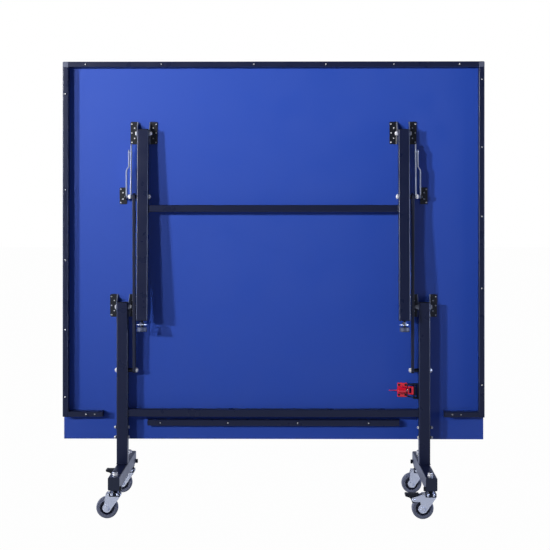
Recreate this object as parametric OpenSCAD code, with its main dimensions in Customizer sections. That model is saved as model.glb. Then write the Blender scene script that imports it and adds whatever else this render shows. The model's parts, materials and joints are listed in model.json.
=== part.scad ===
// Half of a rollaway table-tennis table, folded upright for storage on its trolley.
// Origin: on the floor, under the middle of the whole table. +X to the right when facing the underside,
// +Y through the board towards the playing face, +Z up. Millimetres.

/* [Table top] */
// Width of the board, along the net
board_w = 1525; // [1400:5:1600]
// Length of the half board, from net edge to end line
board_h = 1370; // [1300:5:1400]
// Thickness of the board
board_t = 15; // [12:1:22]
// Height of the playing face above the floor in play
play_height = 760; // [740:5:780]
// Distance from the fold pivot to the underside of the board
standoff = 30; // [29:0.5:32]
// Length of board below the fold pivot when stored
net_side = 483; // [470:1:490]

/* [Apron] */
// Width of the apron tube's face
apron_face = 20; // [18:1:25]
// Depth of the apron tube, from the board outwards
apron_depth = 35; // [30:1:50]
// Bare board between the side aprons' ends and the net edge
apron_stop = 85; // [60:5:120]
// Length of the short returns at the ends of the side aprons
return_len = 125; // [80:5:140]
// Length of the rail that stiffens the net edge
net_rail_len = 912; // [600:2:930]

/* [Legs and posts] */
// Side of the square tube of posts and legs
tube = 40; // [38:1:40]
// Wall of the steel tubes
wall = 1.5; // [1.2:0.1:2]
// Distance from the middle of the table to a trolley post's centre line
post_x = 545; // [544:0.5:548]
// Distance from the middle of the table to a folding leg's centre line
leg_x = 471; // [470:0.5:472]
// Distance between the fold pivot and the folding legs' pivot
pivot_gap = 627; // [600:1:640]
// Angle at which the folding legs stand off the board in storage
leg_lean = 3; // [0:0.5:3]

/* [Linkage] */
// Distance of the link bar's pins below the two main pivots
link_drop = 229; // [220:1:235]
// Distance from the middle of the table to a link bar's centre line
link_x = 503; // [503:0.5:504]
// Depth of a link bar
link_d = 22; // [18:1:22]

/* [Trolley] */
// Length of a foot beam
beam_len = 500; // [460:10:600]
// Height of a foot beam's tube
beam_h = 45; // [40:1:50]
// Distance from the middle of a foot beam to a caster's swivel axis
caster_y = 210; // [190:5:210]

/* [Casters] */
// Diameter of a wheel over its tyre
wheel_d = 75; // [70:1:75]
// Width of a tyre
tyre_w = 24; // [20:1:26]
// Height from the floor to the underside of a foot beam
caster_h = 103; // [103:1:110]
// How far a wheel's axle trails its swivel axis
trail = 27; // [24:1:28]

/* [Latch] */
// Height of the storage latch's bolt above the floor
latch_z = 412; // [400:1:430]

/* [Hidden] */
$fn = 48;
fold_z = play_height - board_t - standoff;
leg_pivot_z = fold_z + pivot_gap;
board_z = fold_z - net_side;
board_top = board_z + board_h;
under_y = standoff;
face_y = standoff + board_t;
half_w = board_w / 2;
apron_y = under_y - apron_depth;
apron_z = board_z + apron_stop;
apron_mid = half_w - apron_face / 2;
half_tube = tube / 2;
beam_top = caster_h + beam_h;
post_in = post_x - half_tube;
post_out = post_x + half_tube;
leg_in = leg_x - half_tube;
leg_out = leg_x + half_tube;
post_top = fold_z + 15;
leg_top = leg_pivot_z + 12;
leg_end = leg_pivot_z - 673;
pad_z = leg_pivot_z - fold_z;
pad_h = 17;         // height of a levelling foot's pad
jam_nut = 17;       // width across flats of its jam nut
post_link_z = fold_z - link_drop;
leg_link_z = leg_pivot_z - link_drop;
stay_len = round(link_drop / sqrt(2));
knee_z = leg_link_z + stay_len;
link_pin_y = -link_drop * sin(leg_lean);
link_pin_z = leg_pivot_z - link_drop * cos(leg_lean);
link_tilt = atan(-link_pin_y / (link_pin_z - post_link_z));
stay_tilt = asin(link_drop * sin(leg_lean / 2) / stay_len) - leg_lean / 2;
gap = 0.3;          // side gap between pieces that turn past each other
play = 0.05;        // radial clearance of a running fit
bolt_r = 4;         // M8
link_hex = 16;      // width across flats of the linkage bolts' heads and nuts
stem_r = 5;         // M10
plate = 3;          // thickness of the bracket plates
cap_t = 2;          // lip of a tube cap
hinge_low = 38;     // reach of a hinge plate below its pivot
hinge_high = 44;    // reach of a hinge plate above its pivot
flange_w = 26;      // width of a hinge plate's screwed flange, past its ear
ear_r = 14;
link_w = 10.5;
link_end_r = link_d / 2;
slot_r = 5;         // half width of the slot in a link bar's upper end
slot_from = [0.2, 0.7]; // its ends' centres, along Y and Z from the bolt's place with the legs upright
slot_to = [1.5, 3.8];
link_over = 2;      // how far the bar's end goes past that place
stay_t = 4;
stay_w = 16;
leg_stay_x = 514;   // centre planes of the two halves of a knee stay
board_stay_x = 522;
stay_foot_x = 531;
stay_flange_x = 560;
stay_stop = 21;     // reach of a leg stay past its knee
rail_d = 22;        // net-edge rail
rail_mid_z = board_z + 62;
low_cross = 27;     // tube between the posts
low_cross_z = fold_z - 382;
leg_cross = 25;     // tube between the folding legs
leg_cross_z = leg_pivot_z - 272;
beam_w = 40;
beam_wall = 2;
spigot = tube - 2 * wall - 0.4;
spigot_top = 310;
foot_bolt_z = [244, 280];
foot_bolt_r = 3;    // M6
wheel_r = wheel_d / 2;
rim_r = 25;
axle_r = 4;
fork_in = 16.5;     // inner face of a fork leg, from the wheel's middle
fork_t = 3;
brake_x = -59;      // brake pedal's pin, from the swivel axis
brake_z = 69.5;
brake_swing = 12;   // travel of a brake pedal
brake_pin_r = 3;
latch_x = 450;      // inner end of the latch housing
latch_y = 14;
tongue_w = 30;
keeper_x = 510;
head_r = 4;
head_t = 2.2;
shank_r = 1.9;
bite = 10;          // depth of a wood screw in the board

// Screws of the apron: along the end apron, up each side apron, along the net-edge rail.
END_SCREWS = [-680, -405, -70, 190, 435, 672];
LEFT_SCREWS = [389, 632, 885, 1138, 1485];
RIGHT_SCREWS = [434, 783, 1042, 1292, 1537];
RETURN_SCREWS = [646, 677];
RAIL_SCREWS = [-410, -164, 88, 345];
// Screws of a hinge plate: distance from the flange's free edge, height from the pivot.
HINGE_SCREWS = [[5, 35], [15.5, 21], [5.5, 3], [15.5, -16.5], [5.5, -31]];
// Screws of a stay bracket, measured the same way.
STAY_SCREWS = [[5, 27], [13, 15], [13, -8], [5, -21]];
// Casters: name order, side along X, side along Y, whether it has a brake.
CASTERS = [[-1, -1, false], [1, -1, true], [-1, 1, true], [1, 1, false]];

// ---- Shared shapes ----

// A box between two corners.
module span(low, high) {
    translate(low) cube(high - low);
}

// A round bar along X, from x0 to x1, centred on y and z.
module bar_x(r, x0, x1, y = 0, z = 0) {
    translate([x0, y, z]) rotate([0, 90, 0]) cylinder(r = r, h = x1 - x0);
}

// A round bar along Y, from y0 to y1, centred on x and z.
module bar_y(r, y0, y1, x = 0, z = 0) {
    translate([x, y0, z]) rotate([-90, 0, 0]) cylinder(r = r, h = y1 - y0);
}

// A rectangular tube between two corners, open along one axis: 0 for X, 1 for Y, 2 for Z.
module box_tube(low, high, axis, t = wall) {
    inset = [for (i = [0:2]) i == axis ? -1 : t];
    difference() {
        span(low, high);
        span(low + inset, high - inset);
    }
}

// The same piece on the left and on the right.
module both() {
    children();
    mirror([1, 0, 0]) children();
}

// A piece drawn for the right-hand side, put on side s: 1 right, -1 left.
module on_side(s) {
    mirror([s < 0 ? 1 : 0, 0, 0]) children();
}

// A piece turned about the line along X at height z.
module tilted(z, angle) {
    translate([0, 0, z]) rotate([angle, 0, 0]) translate([0, 0, -z]) children();
}

// A piece of the folding legs, drawn upright and stood off the board.
module leaned() {
    tilted(leg_pivot_z, -leg_lean) children();
}

// A pan-head wood screw driven along +Y from a face at y into the board.
module board_screw(x, y, z) {
    bar_y(shank_r, y - 0.5, under_y + bite, x, z);
    translate([x, y, z]) rotate([90, 0, 0]) rotate_extrude()
        polygon([[0, 0], [head_r, 0], [head_r, 0.9], [head_r - 1.2, head_t], [0, head_t]]);
}

// A hexagonal head or nut along X, bored when r is over 0.
module hex_x(across, x0, x1, y, z, r = 0) {
    difference() {
        translate([x0, y, z]) rotate([0, 90, 0]) cylinder(r = across / sqrt(3), h = x1 - x0, $fn = 6);
        if (r > 0) bar_x(r, x0 - 1, x1 + 1, y, z);
    }
}

// A bolt along X with its head at the outer end.
module bolt_x(x0, x1, z) {
    bar_x(bolt_r, x0, x1, 0, z);
    hex_x(13, x1, x1 + 5, 0, z);
}

// ---- Table top ----

module board() {
    color("royalblue") span([-half_w, under_y, board_z], [half_w, face_y, board_top]);
}

module end_apron() {
    color("#23273a")
        box_tube([-half_w + apron_face, apron_y, board_top - apron_face],
                 [half_w - apron_face, under_y, board_top], 0);
}

module side_apron(s) {
    color("#23273a") on_side(s)
        box_tube([half_w - apron_face, apron_y, apron_z],
                 [half_w, under_y, board_top - apron_face], 2);
}

module apron_returns() {
    color("#23273a") both()
        box_tube([half_w - apron_face - return_len, apron_y, apron_z],
                 [half_w - apron_face, under_y, apron_z + apron_face], 0);
}

module net_edge_rail() {
    color("#1b1e2c")
        box_tube([-net_rail_len / 2, under_y - rail_d, rail_mid_z - rail_d / 2],
                 [net_rail_len / 2, under_y, rail_mid_z + rail_d / 2], 0);
}

module apron_corner_caps() {
    color("#3a3f55") both() {
        span([half_w - apron_face, apron_y, board_top - apron_face], [half_w, under_y, board_top]);
        // Plugs that hold the two aprons together inside their tubes.
        span([half_w - apron_face - 25, apron_y + wall + 0.2, board_top - apron_face + wall + 0.2],
             [half_w - apron_face, under_y - wall - 0.2, board_top - wall - 0.2]);
        span([half_w - apron_face + wall + 0.2, apron_y + wall + 0.2, board_top - apron_face - 25],
             [half_w - wall - 0.2, under_y - wall - 0.2, board_top - apron_face]);
    }
}

module apron_screws() {
    color("silver") {
        for (x = END_SCREWS) board_screw(x, apron_y, board_top - apron_face / 2);
        for (z = LEFT_SCREWS) board_screw(-apron_mid, apron_y, z);
        for (z = RIGHT_SCREWS) board_screw(apron_mid, apron_y, z);
        both() for (x = RETURN_SCREWS) board_screw(x, apron_y, apron_z + apron_face / 2);
        for (x = RAIL_SCREWS) board_screw(x, under_y - rail_d, rail_mid_z);
    }
}

// An L-shaped hinge plate: an ear beside the tube from x0 along dir, and a flange on the board.
module hinge_plate(x0, dir, z) {
    translate([x0, 0, z]) mirror([dir < 0 ? 1 : 0, 0, 0]) {
        difference() {
            rotate([90, 0, 90]) linear_extrude(plate) union() {
                circle(ear_r);
                polygon([[under_y, -hinge_low], [under_y - plate, -hinge_low], [-3, -ear_r + 0.3],
                         [-3, ear_r - 0.3], [under_y - plate, hinge_high], [under_y, hinge_high]]);
            }
            bar_x(bolt_r + play, -1, plate + 1);
        }
        span([plate - 0.01, under_y - plate, -hinge_low], [plate + flange_w, under_y, hinge_high]);
    }
}

// The two plates that straddle a tube between x0 and x1.
module hinge_pair(x0, x1, z) {
    hinge_plate(x0 - gap, -1, z);
    hinge_plate(x1 + gap, 1, z);
}

module upper_hinge_plates() {
    color("#15171f") both() hinge_pair(leg_in, leg_out, leg_pivot_z);
}

module lower_hinge_plates() {
    color("#15171f") both() hinge_pair(post_in, post_out, fold_z);
}

// Screws of one hinge plate whose ear starts at x0 and whose flange runs along dir.
module hinge_plate_screws(x0, dir, z) {
    for (p = HINGE_SCREWS)
        board_screw(x0 + dir * (plate + flange_w - p[0]), under_y - plate, z + p[1]);
}

module bracket_screws() {
    color("silver") both() {
        for (side = [[leg_in, leg_out, leg_pivot_z], [post_in, post_out, fold_z]]) {
            hinge_plate_screws(side[0] - gap, -1, side[2]);
            hinge_plate_screws(side[1] + gap, 1, side[2]);
        }
        for (p = STAY_SCREWS) board_screw(stay_flange_x - p[0], under_y - plate, leg_link_z + p[1]);
    }
}

// The pivot bolts of the hinges, each through two ears and a tube.
module pivot_bolts() {
    color("silver") both() {
        bolt_x(leg_in - gap - plate - 11, leg_out + gap + plate + 0.1, leg_pivot_z);
        bolt_x(post_in - gap - plate - 11, post_out + gap + plate + 0.1, fold_z);
    }
}

module pivot_nuts() {
    color("silver") both() for (p = [[leg_in, leg_pivot_z], [post_in, fold_z]])
        hex_x(13, p[0] - gap - plate - 8.6, p[0] - gap - plate - 0.1, 0, p[1], bolt_r + 0.1);
}

// An L bracket on the board that carries the foot of a knee stay, with its rivet.
module stay_brackets() {
    ear = stay_foot_x + stay_t / 2 + gap;
    color("#15171f") both() translate([0, 0, leg_link_z]) {
        difference() {
            union() {
                bar_x(11, ear, ear + plate);
                span([ear, 0, -11], [ear + plate, under_y, 11]);
                span([ear, under_y - plate, -27], [stay_flange_x, under_y, 34]);
            }
            bar_x(brake_pin_r + 0.1, ear - 1, ear + plate + 1);
        }
        // Rivet.
        bar_x(brake_pin_r, ear - stay_t - 0.9, ear + plate + 0.2);
        bar_x(6, ear - stay_t - 2.4, ear - stay_t - 0.8);
        bar_x(6, ear + plate + 0.1, ear + plate + 2);
    }
}

// ---- Storage latch ----

module latch_housing() {
    color("red") {
        difference() {
            union() {
                span([latch_x, under_y - plate, latch_z - 26], [latch_x + 36, under_y, latch_z + 26]);
                bar_x(11, latch_x + 2, latch_x + 32, latch_y, latch_z);
                span([latch_x + 2, latch_y, latch_z - 11],
                     [latch_x + 32, under_y - plate + 0.1, latch_z + 11]);
            }
            bar_x(6 + play, latch_x - 1, latch_x + 37, latch_y, latch_z);
        }
    }
}

module latch_screws() {
    color("#15171f") for (x = [6, 30], dz = [-18, 18])
        board_screw(latch_x + x, under_y - plate, latch_z + dz);
}

// The sliding bolt: a rod in the housing, a pull wire with its bead, and a tongue with a window.
module latch_bolt() {
    tip = keeper_x - 2;
    color("red") {
        bar_x(6, latch_x - 2, tip - 20, latch_y, latch_z);
        bar_x(1.6, latch_x - 30, latch_x - 1, latch_y, latch_z);
        translate([latch_x - 31, latch_y, latch_z]) rotate([0, 90, 0]) cylinder(r = 2.6, h = 4);
        difference() {
            span([tip - 21, latch_y - 7, latch_z - tongue_w / 2], [tip, latch_y + 7, latch_z + tongue_w / 2]);
            span([tip - 17, latch_y - 8, latch_z - 9], [tip - 8, latch_y + 8, latch_z + 9]);
        }
    }
}

// The keeper on the right-hand post: a windowed plate that the tongue enters, between two guide arms.
module latch_keeper() {
    arm = tongue_w / 2 + 5;
    color("#15171f") difference() {
        translate([0, latch_y + 9, latch_z]) rotate([90, 0, 0]) linear_extrude(18) {
            polygon([[keeper_x - 24, arm], [keeper_x, arm + 2], [post_in, arm + 2], [post_in, arm + 5],
                     [keeper_x, arm + 5], [keeper_x - 24, arm + 3]]);
            polygon([[keeper_x - 24, -arm], [keeper_x, -arm - 5], [post_in, -arm - 8],
                     [post_in, -arm - 11], [keeper_x, -arm - 8], [keeper_x - 24, -arm - 3]]);
            translate([keeper_x, -arm - 6]) square([plate, 2 * arm + 9]);
            translate([post_in - plate, -arm - 9]) square([plate, 2 * arm + 12]);
        }
        span([keeper_x - 1, latch_y - 7.6, latch_z - tongue_w / 2 - 0.6],
             [keeper_x + plate + 1, latch_y + 7.6, latch_z + tongue_w / 2 + 0.6]);
    }
}

// ---- Folding legs ----

module upper_leg(s) {
    color("#23273a") leaned() on_side(s) difference() {
        box_tube([leg_in, -half_tube, leg_end], [leg_out, half_tube, leg_top], 2);
        for (z = [leg_pivot_z, leg_link_z]) bar_x(bolt_r + play, leg_in - 1, leg_out + 1, 0, z);
    }
}

module leg_cross_tube() {
    color("#23273a") leaned()
        box_tube([-leg_in, -leg_cross / 2, leg_cross_z - leg_cross / 2],
                 [leg_in, leg_cross / 2, leg_cross_z + leg_cross / 2], 0);
}

// A cap with its lip on a tube's end and its plug inside; up is 1 for a top end and -1 for a bottom end.
module tube_cap(x, z, up, depth) {
    inner = half_tube - wall - 0.1;
    translate([x, 0, z]) mirror([0, 0, up > 0 ? 0 : 1]) {
        span([-half_tube, -half_tube, 0], [half_tube, half_tube, cap_t]);
        span([-inner, -inner, -depth], [inner, inner, 0.01]);
    }
}

module leg_top_caps() {
    color("#15171f") leaned() both() tube_cap(leg_x, leg_top, 1, 8);
}

module leg_foot_inserts() {
    color("#15171f") leaned() both() difference() {
        tube_cap(leg_x, leg_end, -1, 24);
        translate([leg_x, 0, leg_end - 5]) cylinder(r = stem_r + play, h = 40);
    }
}

// The link bars' upper bolts: through the leg, a sleeve, the link bar and the knee stay.
module upper_link_bolts() {
    color("silver") leaned() both() translate([0, 0, leg_link_z]) {
        bar_x(bolt_r, leg_in - 8, leg_stay_x + stay_t / 2 + 6.2);
        hex_x(link_hex, leg_in - 7.5, leg_in - 0.1, 0, 0, bolt_r + 0.1);
        hex_x(link_hex, leg_stay_x + stay_t / 2 + 0.3, leg_stay_x + stay_t / 2 + 4.6, 0, 0, bolt_r + 0.1);
        difference() {
            bar_x(7, leg_out + 0.1, link_x - link_w / 2 - 0.2);
            bar_x(bolt_r + 0.1, leg_out - 1, link_x);
        }
        difference() {
            bar_x(7, link_x + link_w / 2 + 0.2, leg_stay_x - stay_t / 2 - 0.3);
            bar_x(bolt_r + 0.1, link_x, leg_stay_x);
        }
    }
}

// A levelling foot: threaded stud with a jam nut on a broad washer, and a thick round pad.
module leveller(s) {
    leaned() on_side(s) translate([leg_x, 0, pad_z]) {
        color("silver") {
            translate([0, 0, pad_h - 1]) cylinder(r = stem_r, h = 46);
            translate([0, 0, pad_h + 7]) cylinder(r = 18, h = 2.5);
            translate([0, 0, pad_h + 9.4]) cylinder(r = jam_nut / sqrt(3), h = 7, $fn = 6);
        }
        color("dimgray") rotate_extrude()
            polygon([[0, 0], [15, 0], [18, 2.5], [18, 14], [16, pad_h], [0, pad_h]]);
    }
}

// ---- Linkage ----

// Half a circle of the slot's outline, round the centre p.
function slot_end(p, start) = [for (a = [start:15:start + 180]) p + slot_r * [cos(a), sin(a)]];

// The slot in a link bar's upper end. The leaning legs' bolt moves in it as the table unfolds.
module link_slot() {
    turn = atan2(slot_to[1] - slot_from[1], slot_to[0] - slot_from[0]);
    translate([link_x - link_w, 0, leg_link_z]) rotate([90, 0, 90]) linear_extrude(2 * link_w)
        polygon(concat(slot_end(slot_to, turn - 90), slot_end(slot_from, turn + 90)));
}

module link_bar(s) {
    color("#15171f") on_side(s) tilted(post_link_z, link_tilt) difference() {
        union() {
            span([link_x - link_w / 2, -link_d / 2, post_link_z],
                 [link_x + link_w / 2, link_d / 2, leg_link_z + link_over]);
            for (z = [post_link_z, leg_link_z + link_over])
                bar_x(link_end_r, link_x - link_w / 2, link_x + link_w / 2, 0, z);
        }
        bar_x(bolt_r + play, link_x - link_w, link_x + link_w, 0, post_link_z);
        link_slot();
    }
}

// The link bars' lower bolts: through the post, a sleeve and the link bar.
module lower_link_bolts() {
    color("silver") both() translate([0, 0, post_link_z]) {
        bar_x(bolt_r, link_x - link_w / 2 - 8, post_out + 0.1);
        hex_x(link_hex, post_out + 0.1, post_out + 9, 0, 0);
        hex_x(link_hex, link_x - link_w / 2 - 7.5, link_x - link_w / 2 - 0.3, 0, 0, bolt_r + 0.1);
        difference() {
            bar_x(7, link_x + link_w / 2 + 0.2, post_in - 0.1);
            bar_x(bolt_r + 0.1, link_x, post_in + 1);
        }
    }
}

// The half of a knee stay that turns on the link bar's upper bolt. It reaches past the knee, as the
// stop that keeps the straightened stay from bending the other way, and carries half of the knee rivet.
module leg_stay(s) {
    x0 = leg_stay_x - stay_t / 2;
    color("#15171f") leaned() on_side(s) tilted(leg_link_z, -stay_tilt) {
        difference() {
            translate([x0, 0, 0]) rotate([90, 0, 90]) linear_extrude(stay_t) union() {
                translate([-stay_w / 2, leg_link_z]) square([stay_w, stay_len + stay_stop]);
                for (z = [leg_link_z, knee_z + stay_stop]) translate([0, z]) circle(stay_w / 2);
            }
            bar_x(bolt_r + play, x0 - 1, x0 + stay_t + 1, 0, leg_link_z);
        }
        bar_x(5.5, x0 - 1.8, x0 + 1, 0, knee_z);
        bar_x(4, x0 + stay_t - 1, x0 + stay_t + 1.8, 0, knee_z);
    }
}

// The half of a knee stay that turns on the board's bracket. It is joggled sideways, clear of the leg stay.
module board_stay(s) {
    x0 = board_stay_x - stay_t / 2;
    x1 = stay_foot_x - stay_t / 2;
    bend_low = leg_link_z + 95;
    bend_high = leg_link_z + 110;
    color("#15171f") on_side(s) tilted(leg_link_z, stay_tilt) {
        difference() {
            union() {
                translate([0, stay_w / 2, 0]) rotate([90, 0, 0]) linear_extrude(stay_w)
                    polygon([[x0, knee_z], [x0, bend_high], [x1, bend_low], [x1, leg_link_z],
                             [x1 + stay_t, leg_link_z], [x1 + stay_t, bend_low],
                             [x0 + stay_t, bend_high], [x0 + stay_t, knee_z]]);
                bar_x(stay_w / 2, x0, x0 + stay_t, 0, knee_z);
                bar_x(stay_w / 2, x1, x1 + stay_t, 0, leg_link_z);
            }
            bar_x(brake_pin_r + play, x1 - 1, x1 + stay_t + 1, 0, leg_link_z);
        }
        bar_x(4, x0 - 1.8, x0 + 1, 0, knee_z);
        bar_x(5.5, x0 + stay_t - 1, x0 + stay_t + 1.8, 0, knee_z);
    }
}

// ---- Trolley ----

module post(s) {
    color("#23273a") on_side(s) difference() {
        box_tube([post_in, -half_tube, beam_top], [post_out, half_tube, post_top], 2);
        for (z = [fold_z, post_link_z]) bar_x(bolt_r + play, post_in - 1, post_out + 1, 0, z);
        for (z = foot_bolt_z) bar_x(foot_bolt_r + 0.1, post_in - 1, post_out + 1, 0, z);
    }
}

module lower_cross_tube() {
    color("#23273a")
        box_tube([-post_in, -low_cross / 2, low_cross_z - low_cross / 2],
                 [post_in, low_cross / 2, low_cross_z + low_cross / 2], 0);
}

module post_caps() {
    color("#15171f") both() tube_cap(post_x, post_top, 1, 6);
}

// The stubs welded on the foot beams, inside the posts.
module post_spigots() {
    color("dimgray") both() difference() {
        box_tube([post_x - spigot / 2, -spigot / 2, beam_top],
                 [post_x + spigot / 2, spigot / 2, spigot_top], 2, beam_wall);
        for (z = foot_bolt_z) bar_x(foot_bolt_r + 0.1, post_in, post_out, 0, z);
    }
}

module foot_beam(s) {
    color("#23273a") on_side(s) difference() {
        box_tube([post_x - beam_w / 2, -beam_len / 2, caster_h],
                 [post_x + beam_w / 2, beam_len / 2, beam_top], 1, beam_wall);
        for (t = [-1, 1]) translate([post_x, t * caster_y, caster_h - 1])
            cylinder(r = stem_r + 0.1, h = beam_h + 2);
    }
}

module beam_end_caps() {
    plug_w = beam_w / 2 - beam_wall - 0.1;
    beam_in = post_x - beam_w / 2;
    beam_end = beam_len / 2;
    lug_w = 7;
    lug_h = 14;
    color("#15171f") both() for (t = [-1, 1]) mirror([0, t < 0 ? 1 : 0, 0]) {
        span([beam_in, beam_end, caster_h], [post_x + beam_w / 2, beam_end + plate, beam_top]);
        // Lug at the cap's lower inner corner, beside the beam.
        span([beam_in - lug_w, beam_end, caster_h], [beam_in + 1, beam_end + plate, caster_h + lug_h]);
        span([beam_in - lug_w, beam_end - 9, caster_h], [beam_in, beam_end + 0.01, caster_h + lug_h]);
        span([post_x - plug_w, beam_end - 15, caster_h + beam_wall + 0.1],
             [post_x + plug_w, beam_end + 0.1, beam_top - beam_wall - 0.1]);
    }
}

// Two bolts through each post and its spigot, each with a thick washer under its nut.
module foot_bolts() {
    across = 10;
    color("silver") both() for (z = foot_bolt_z) {
        bar_x(foot_bolt_r, post_in - 1, post_out + 11.5, 0, z);
        hex_x(across, post_in - 5.5, post_in - 0.1, 0, z);
        difference() {
            bar_x(5.5, post_out + 0.1, post_out + 4.6, 0, z);
            bar_x(foot_bolt_r + 0.1, post_out - 1, post_out + 6, 0, z);
        }
        hex_x(across, post_out + 4.7, post_out + 9.7, 0, z, foot_bolt_r + 0.1);
    }
}

// ---- Casters ----

// Puts a piece drawn about the swivel axis, at floor level, on caster i.
module at_caster(i) {
    translate([CASTERS[i][0] * post_x, CASTERS[i][1] * caster_y, 0]) children();
}

// Kingpins with their upper race cups, fixed to the foot beams.
module caster_stems() {
    color("silver") for (i = [0:3]) at_caster(i) rotate_extrude()
        polygon([[0, caster_h - 22.5], [8, caster_h - 22.5], [8, caster_h - 19], [stem_r, caster_h - 19],
                 [stem_r, caster_h - 6], [19, caster_h - 6], [19, caster_h], [stem_r, caster_h],
                 [stem_r, beam_top + 12], [0, beam_top + 12]]);
}

module caster_nuts() {
    color("silver") for (i = [0:3]) at_caster(i) difference() {
        translate([0, 0, beam_top]) union() {
            cylinder(r = 10.5, h = 1.6);
            translate([0, 0, 1.5]) cylinder(r = 17 / sqrt(3), h = 8.5, $fn = 6);
        }
        translate([0, 0, beam_top - 1]) cylinder(r = stem_r + 0.1, h = 14);
    }
}

// Side plate of a fork, in the XZ plane; the brake's arm reaches back to its pin.
module fork_outline(braked) {
    lobe = braked ? 16 : 15;
    crown = caster_h - 18;
    neck = -trail - 8;
    translate([-trail, wheel_r]) circle(lobe);
    polygon([[20, crown], [20, crown - 7], [-trail + 0.82 * lobe, wheel_r - 0.57 * lobe],
             [-trail, wheel_r], [neck, wheel_r + 12], [neck, wheel_r + 22], [-31, crown]]);
    if (braked) {
        translate([brake_x, brake_z]) circle(7.5);
        polygon([[brake_x, brake_z + 7.5], [brake_x, brake_z - 7.5], [neck, brake_z - 8.5],
                 [-25, brake_z - 8.5], [-25, crown], [-31, crown]]);
    }
}

module fork(i) {
    braked = CASTERS[i][2];
    color("silver") at_caster(i) {
        difference() {
            union() {
                for (t = [-1, 1]) translate([0, t > 0 ? fork_in + fork_t : -fork_in, 0])
                    rotate([90, 0, 0]) linear_extrude(fork_t) fork_outline(braked);
                span([-30, -fork_in - fork_t, caster_h - 18.5], [20, fork_in + fork_t, caster_h - 15]);
                translate([0, 0, caster_h - 18.5]) cylinder(r = 21, h = 8);
                translate([0, 0, caster_h - 11]) cylinder(r = 17, h = 4.7);
            }
            translate([0, 0, caster_h - 20]) cylinder(r = stem_r + play, h = 20);
            bar_y(axle_r + 0.1, -30, 30, -trail, wheel_r);
            if (braked) bar_y(brake_pin_r + 0.1, -30, 30, brake_x, brake_z);
        }
        // Axle bolt with its nut, and the brake's pin.
        bar_y(axle_r, -24.5, 20, -trail, wheel_r);
        translate([-trail, 20, wheel_r]) rotate([-90, 0, 0]) cylinder(r = 13 / sqrt(3), h = 4, $fn = 6);
        difference() {
            translate([-trail, -24, wheel_r]) rotate([-90, 0, 0]) cylinder(r = 13 / sqrt(3), h = 4, $fn = 6);
            bar_y(axle_r + 0.1, -30, 0, -trail, wheel_r);
        }
        if (braked) bar_y(brake_pin_r, -21, 21, brake_x, brake_z);
    }
}

module wheel_hub(i) {
    color("#1d2033") at_caster(i) translate([-trail, 0, wheel_r]) rotate([90, 0, 0]) rotate_extrude()
        polygon([[axle_r + play, -15.5], [9, -15.5], [10, -7], [21, -5], [22, -tyre_w / 2 + 1.5],
                 [rim_r, -tyre_w / 2 + 1], [rim_r, tyre_w / 2 - 1], [22, tyre_w / 2 - 1.5], [21, 5],
                 [10, 7], [9, 15.5], [axle_r + play, 15.5]]);
}

module tyre(i) {
    shoulder = 5;
    color("gray") at_caster(i) translate([-trail, 0, wheel_r]) rotate([90, 0, 0]) rotate_extrude() {
        translate([rim_r, -tyre_w / 2]) square([wheel_r - rim_r - shoulder, tyre_w]);
        translate([rim_r, -tyre_w / 2 + shoulder]) square([wheel_r - rim_r, tyre_w - 2 * shoulder]);
        for (t = [-1, 1]) translate([wheel_r - shoulder, t * (tyre_w / 2 - shoulder)]) circle(shoulder);
    }
}

// The foot pedal of a brake: a hub on its pin, a tread that reaches out past the wheel, and a shoe that
// comes down on the tyre. The shoe is cut clear of the tyre over the pedal's whole travel.
module brake_pedal(i) {
    color("#15171f") at_caster(i) difference() {
        translate([brake_x, fork_in - 0.5, brake_z]) rotate([90, 0, 0]) linear_extrude(2 * fork_in - 1)
            difference() {
                union() {
                    circle(7);
                    polygon([[19, 18.5], [-29, 18.5], [-29, 10], [-11, 5], [-4, -13], [6, -13], [8, 6],
                             [19, 13]]);
                }
                for (a = [0, brake_swing]) rotate(-a) translate([-trail - brake_x, wheel_r - brake_z])
                    circle(r = wheel_r + 0.6, $fn = 96);
            }
        bar_y(brake_pin_r + play, -30, 30, brake_x, brake_z);
    }
}

board();
end_apron();
side_apron(-1);  // side_apron_left
side_apron(1);  // side_apron_right
apron_returns();
net_edge_rail();
apron_corner_caps();
upper_hinge_plates();
lower_hinge_plates();
stay_brackets();
pivot_bolts();
pivot_nuts();
apron_screws();
bracket_screws();
latch_housing();
latch_screws();
latch_bolt();
upper_leg(-1);  // upper_leg_left
upper_leg(1);  // upper_leg_right
leg_cross_tube();
leg_top_caps();
leg_foot_inserts();
upper_link_bolts();
leveller(-1);  // leveller_left
leveller(1);  // leveller_right
link_bar(-1);  // link_bar_left
link_bar(1);  // link_bar_right
leg_stay(-1);  // leg_stay_left
leg_stay(1);  // leg_stay_right
board_stay(-1);  // board_stay_left
board_stay(1);  // board_stay_right
post(-1);  // post_left
post(1);  // post_right
lower_cross_tube();
post_caps();
post_spigots();
foot_beam(-1);  // foot_beam_left
foot_beam(1);  // foot_beam_right
beam_end_caps();
lower_link_bolts();
foot_bolts();
latch_keeper();
caster_stems();
caster_nuts();
fork(0);  // fork_front_left
fork(1);  // fork_front_right
fork(2);  // fork_rear_left
fork(3);  // fork_rear_right
wheel_hub(0);  // hub_front_left
wheel_hub(1);  // hub_front_right
wheel_hub(2);  // hub_rear_left
wheel_hub(3);  // hub_rear_right
tyre(0);  // tyre_front_left
tyre(1);  // tyre_front_right
tyre(2);  // tyre_rear_left
tyre(3);  // tyre_rear_right
brake_pedal(1);  // brake_pedal_front_right
brake_pedal(2);  // brake_pedal_rear_left
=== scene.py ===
"""Looks of half a rollaway table-tennis table, folded upright for storage on its castered trolley.

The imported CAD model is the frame. Each sub-assembly below is a class that draws its pieces in millimetres
around the CAD nodes it stands for, and hands them over in metres.
"""

import json
import logging
import math
from dataclasses import dataclass, field
from enum import Enum

import bmesh
import bpy
from mathutils import Matrix, Vector

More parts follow.
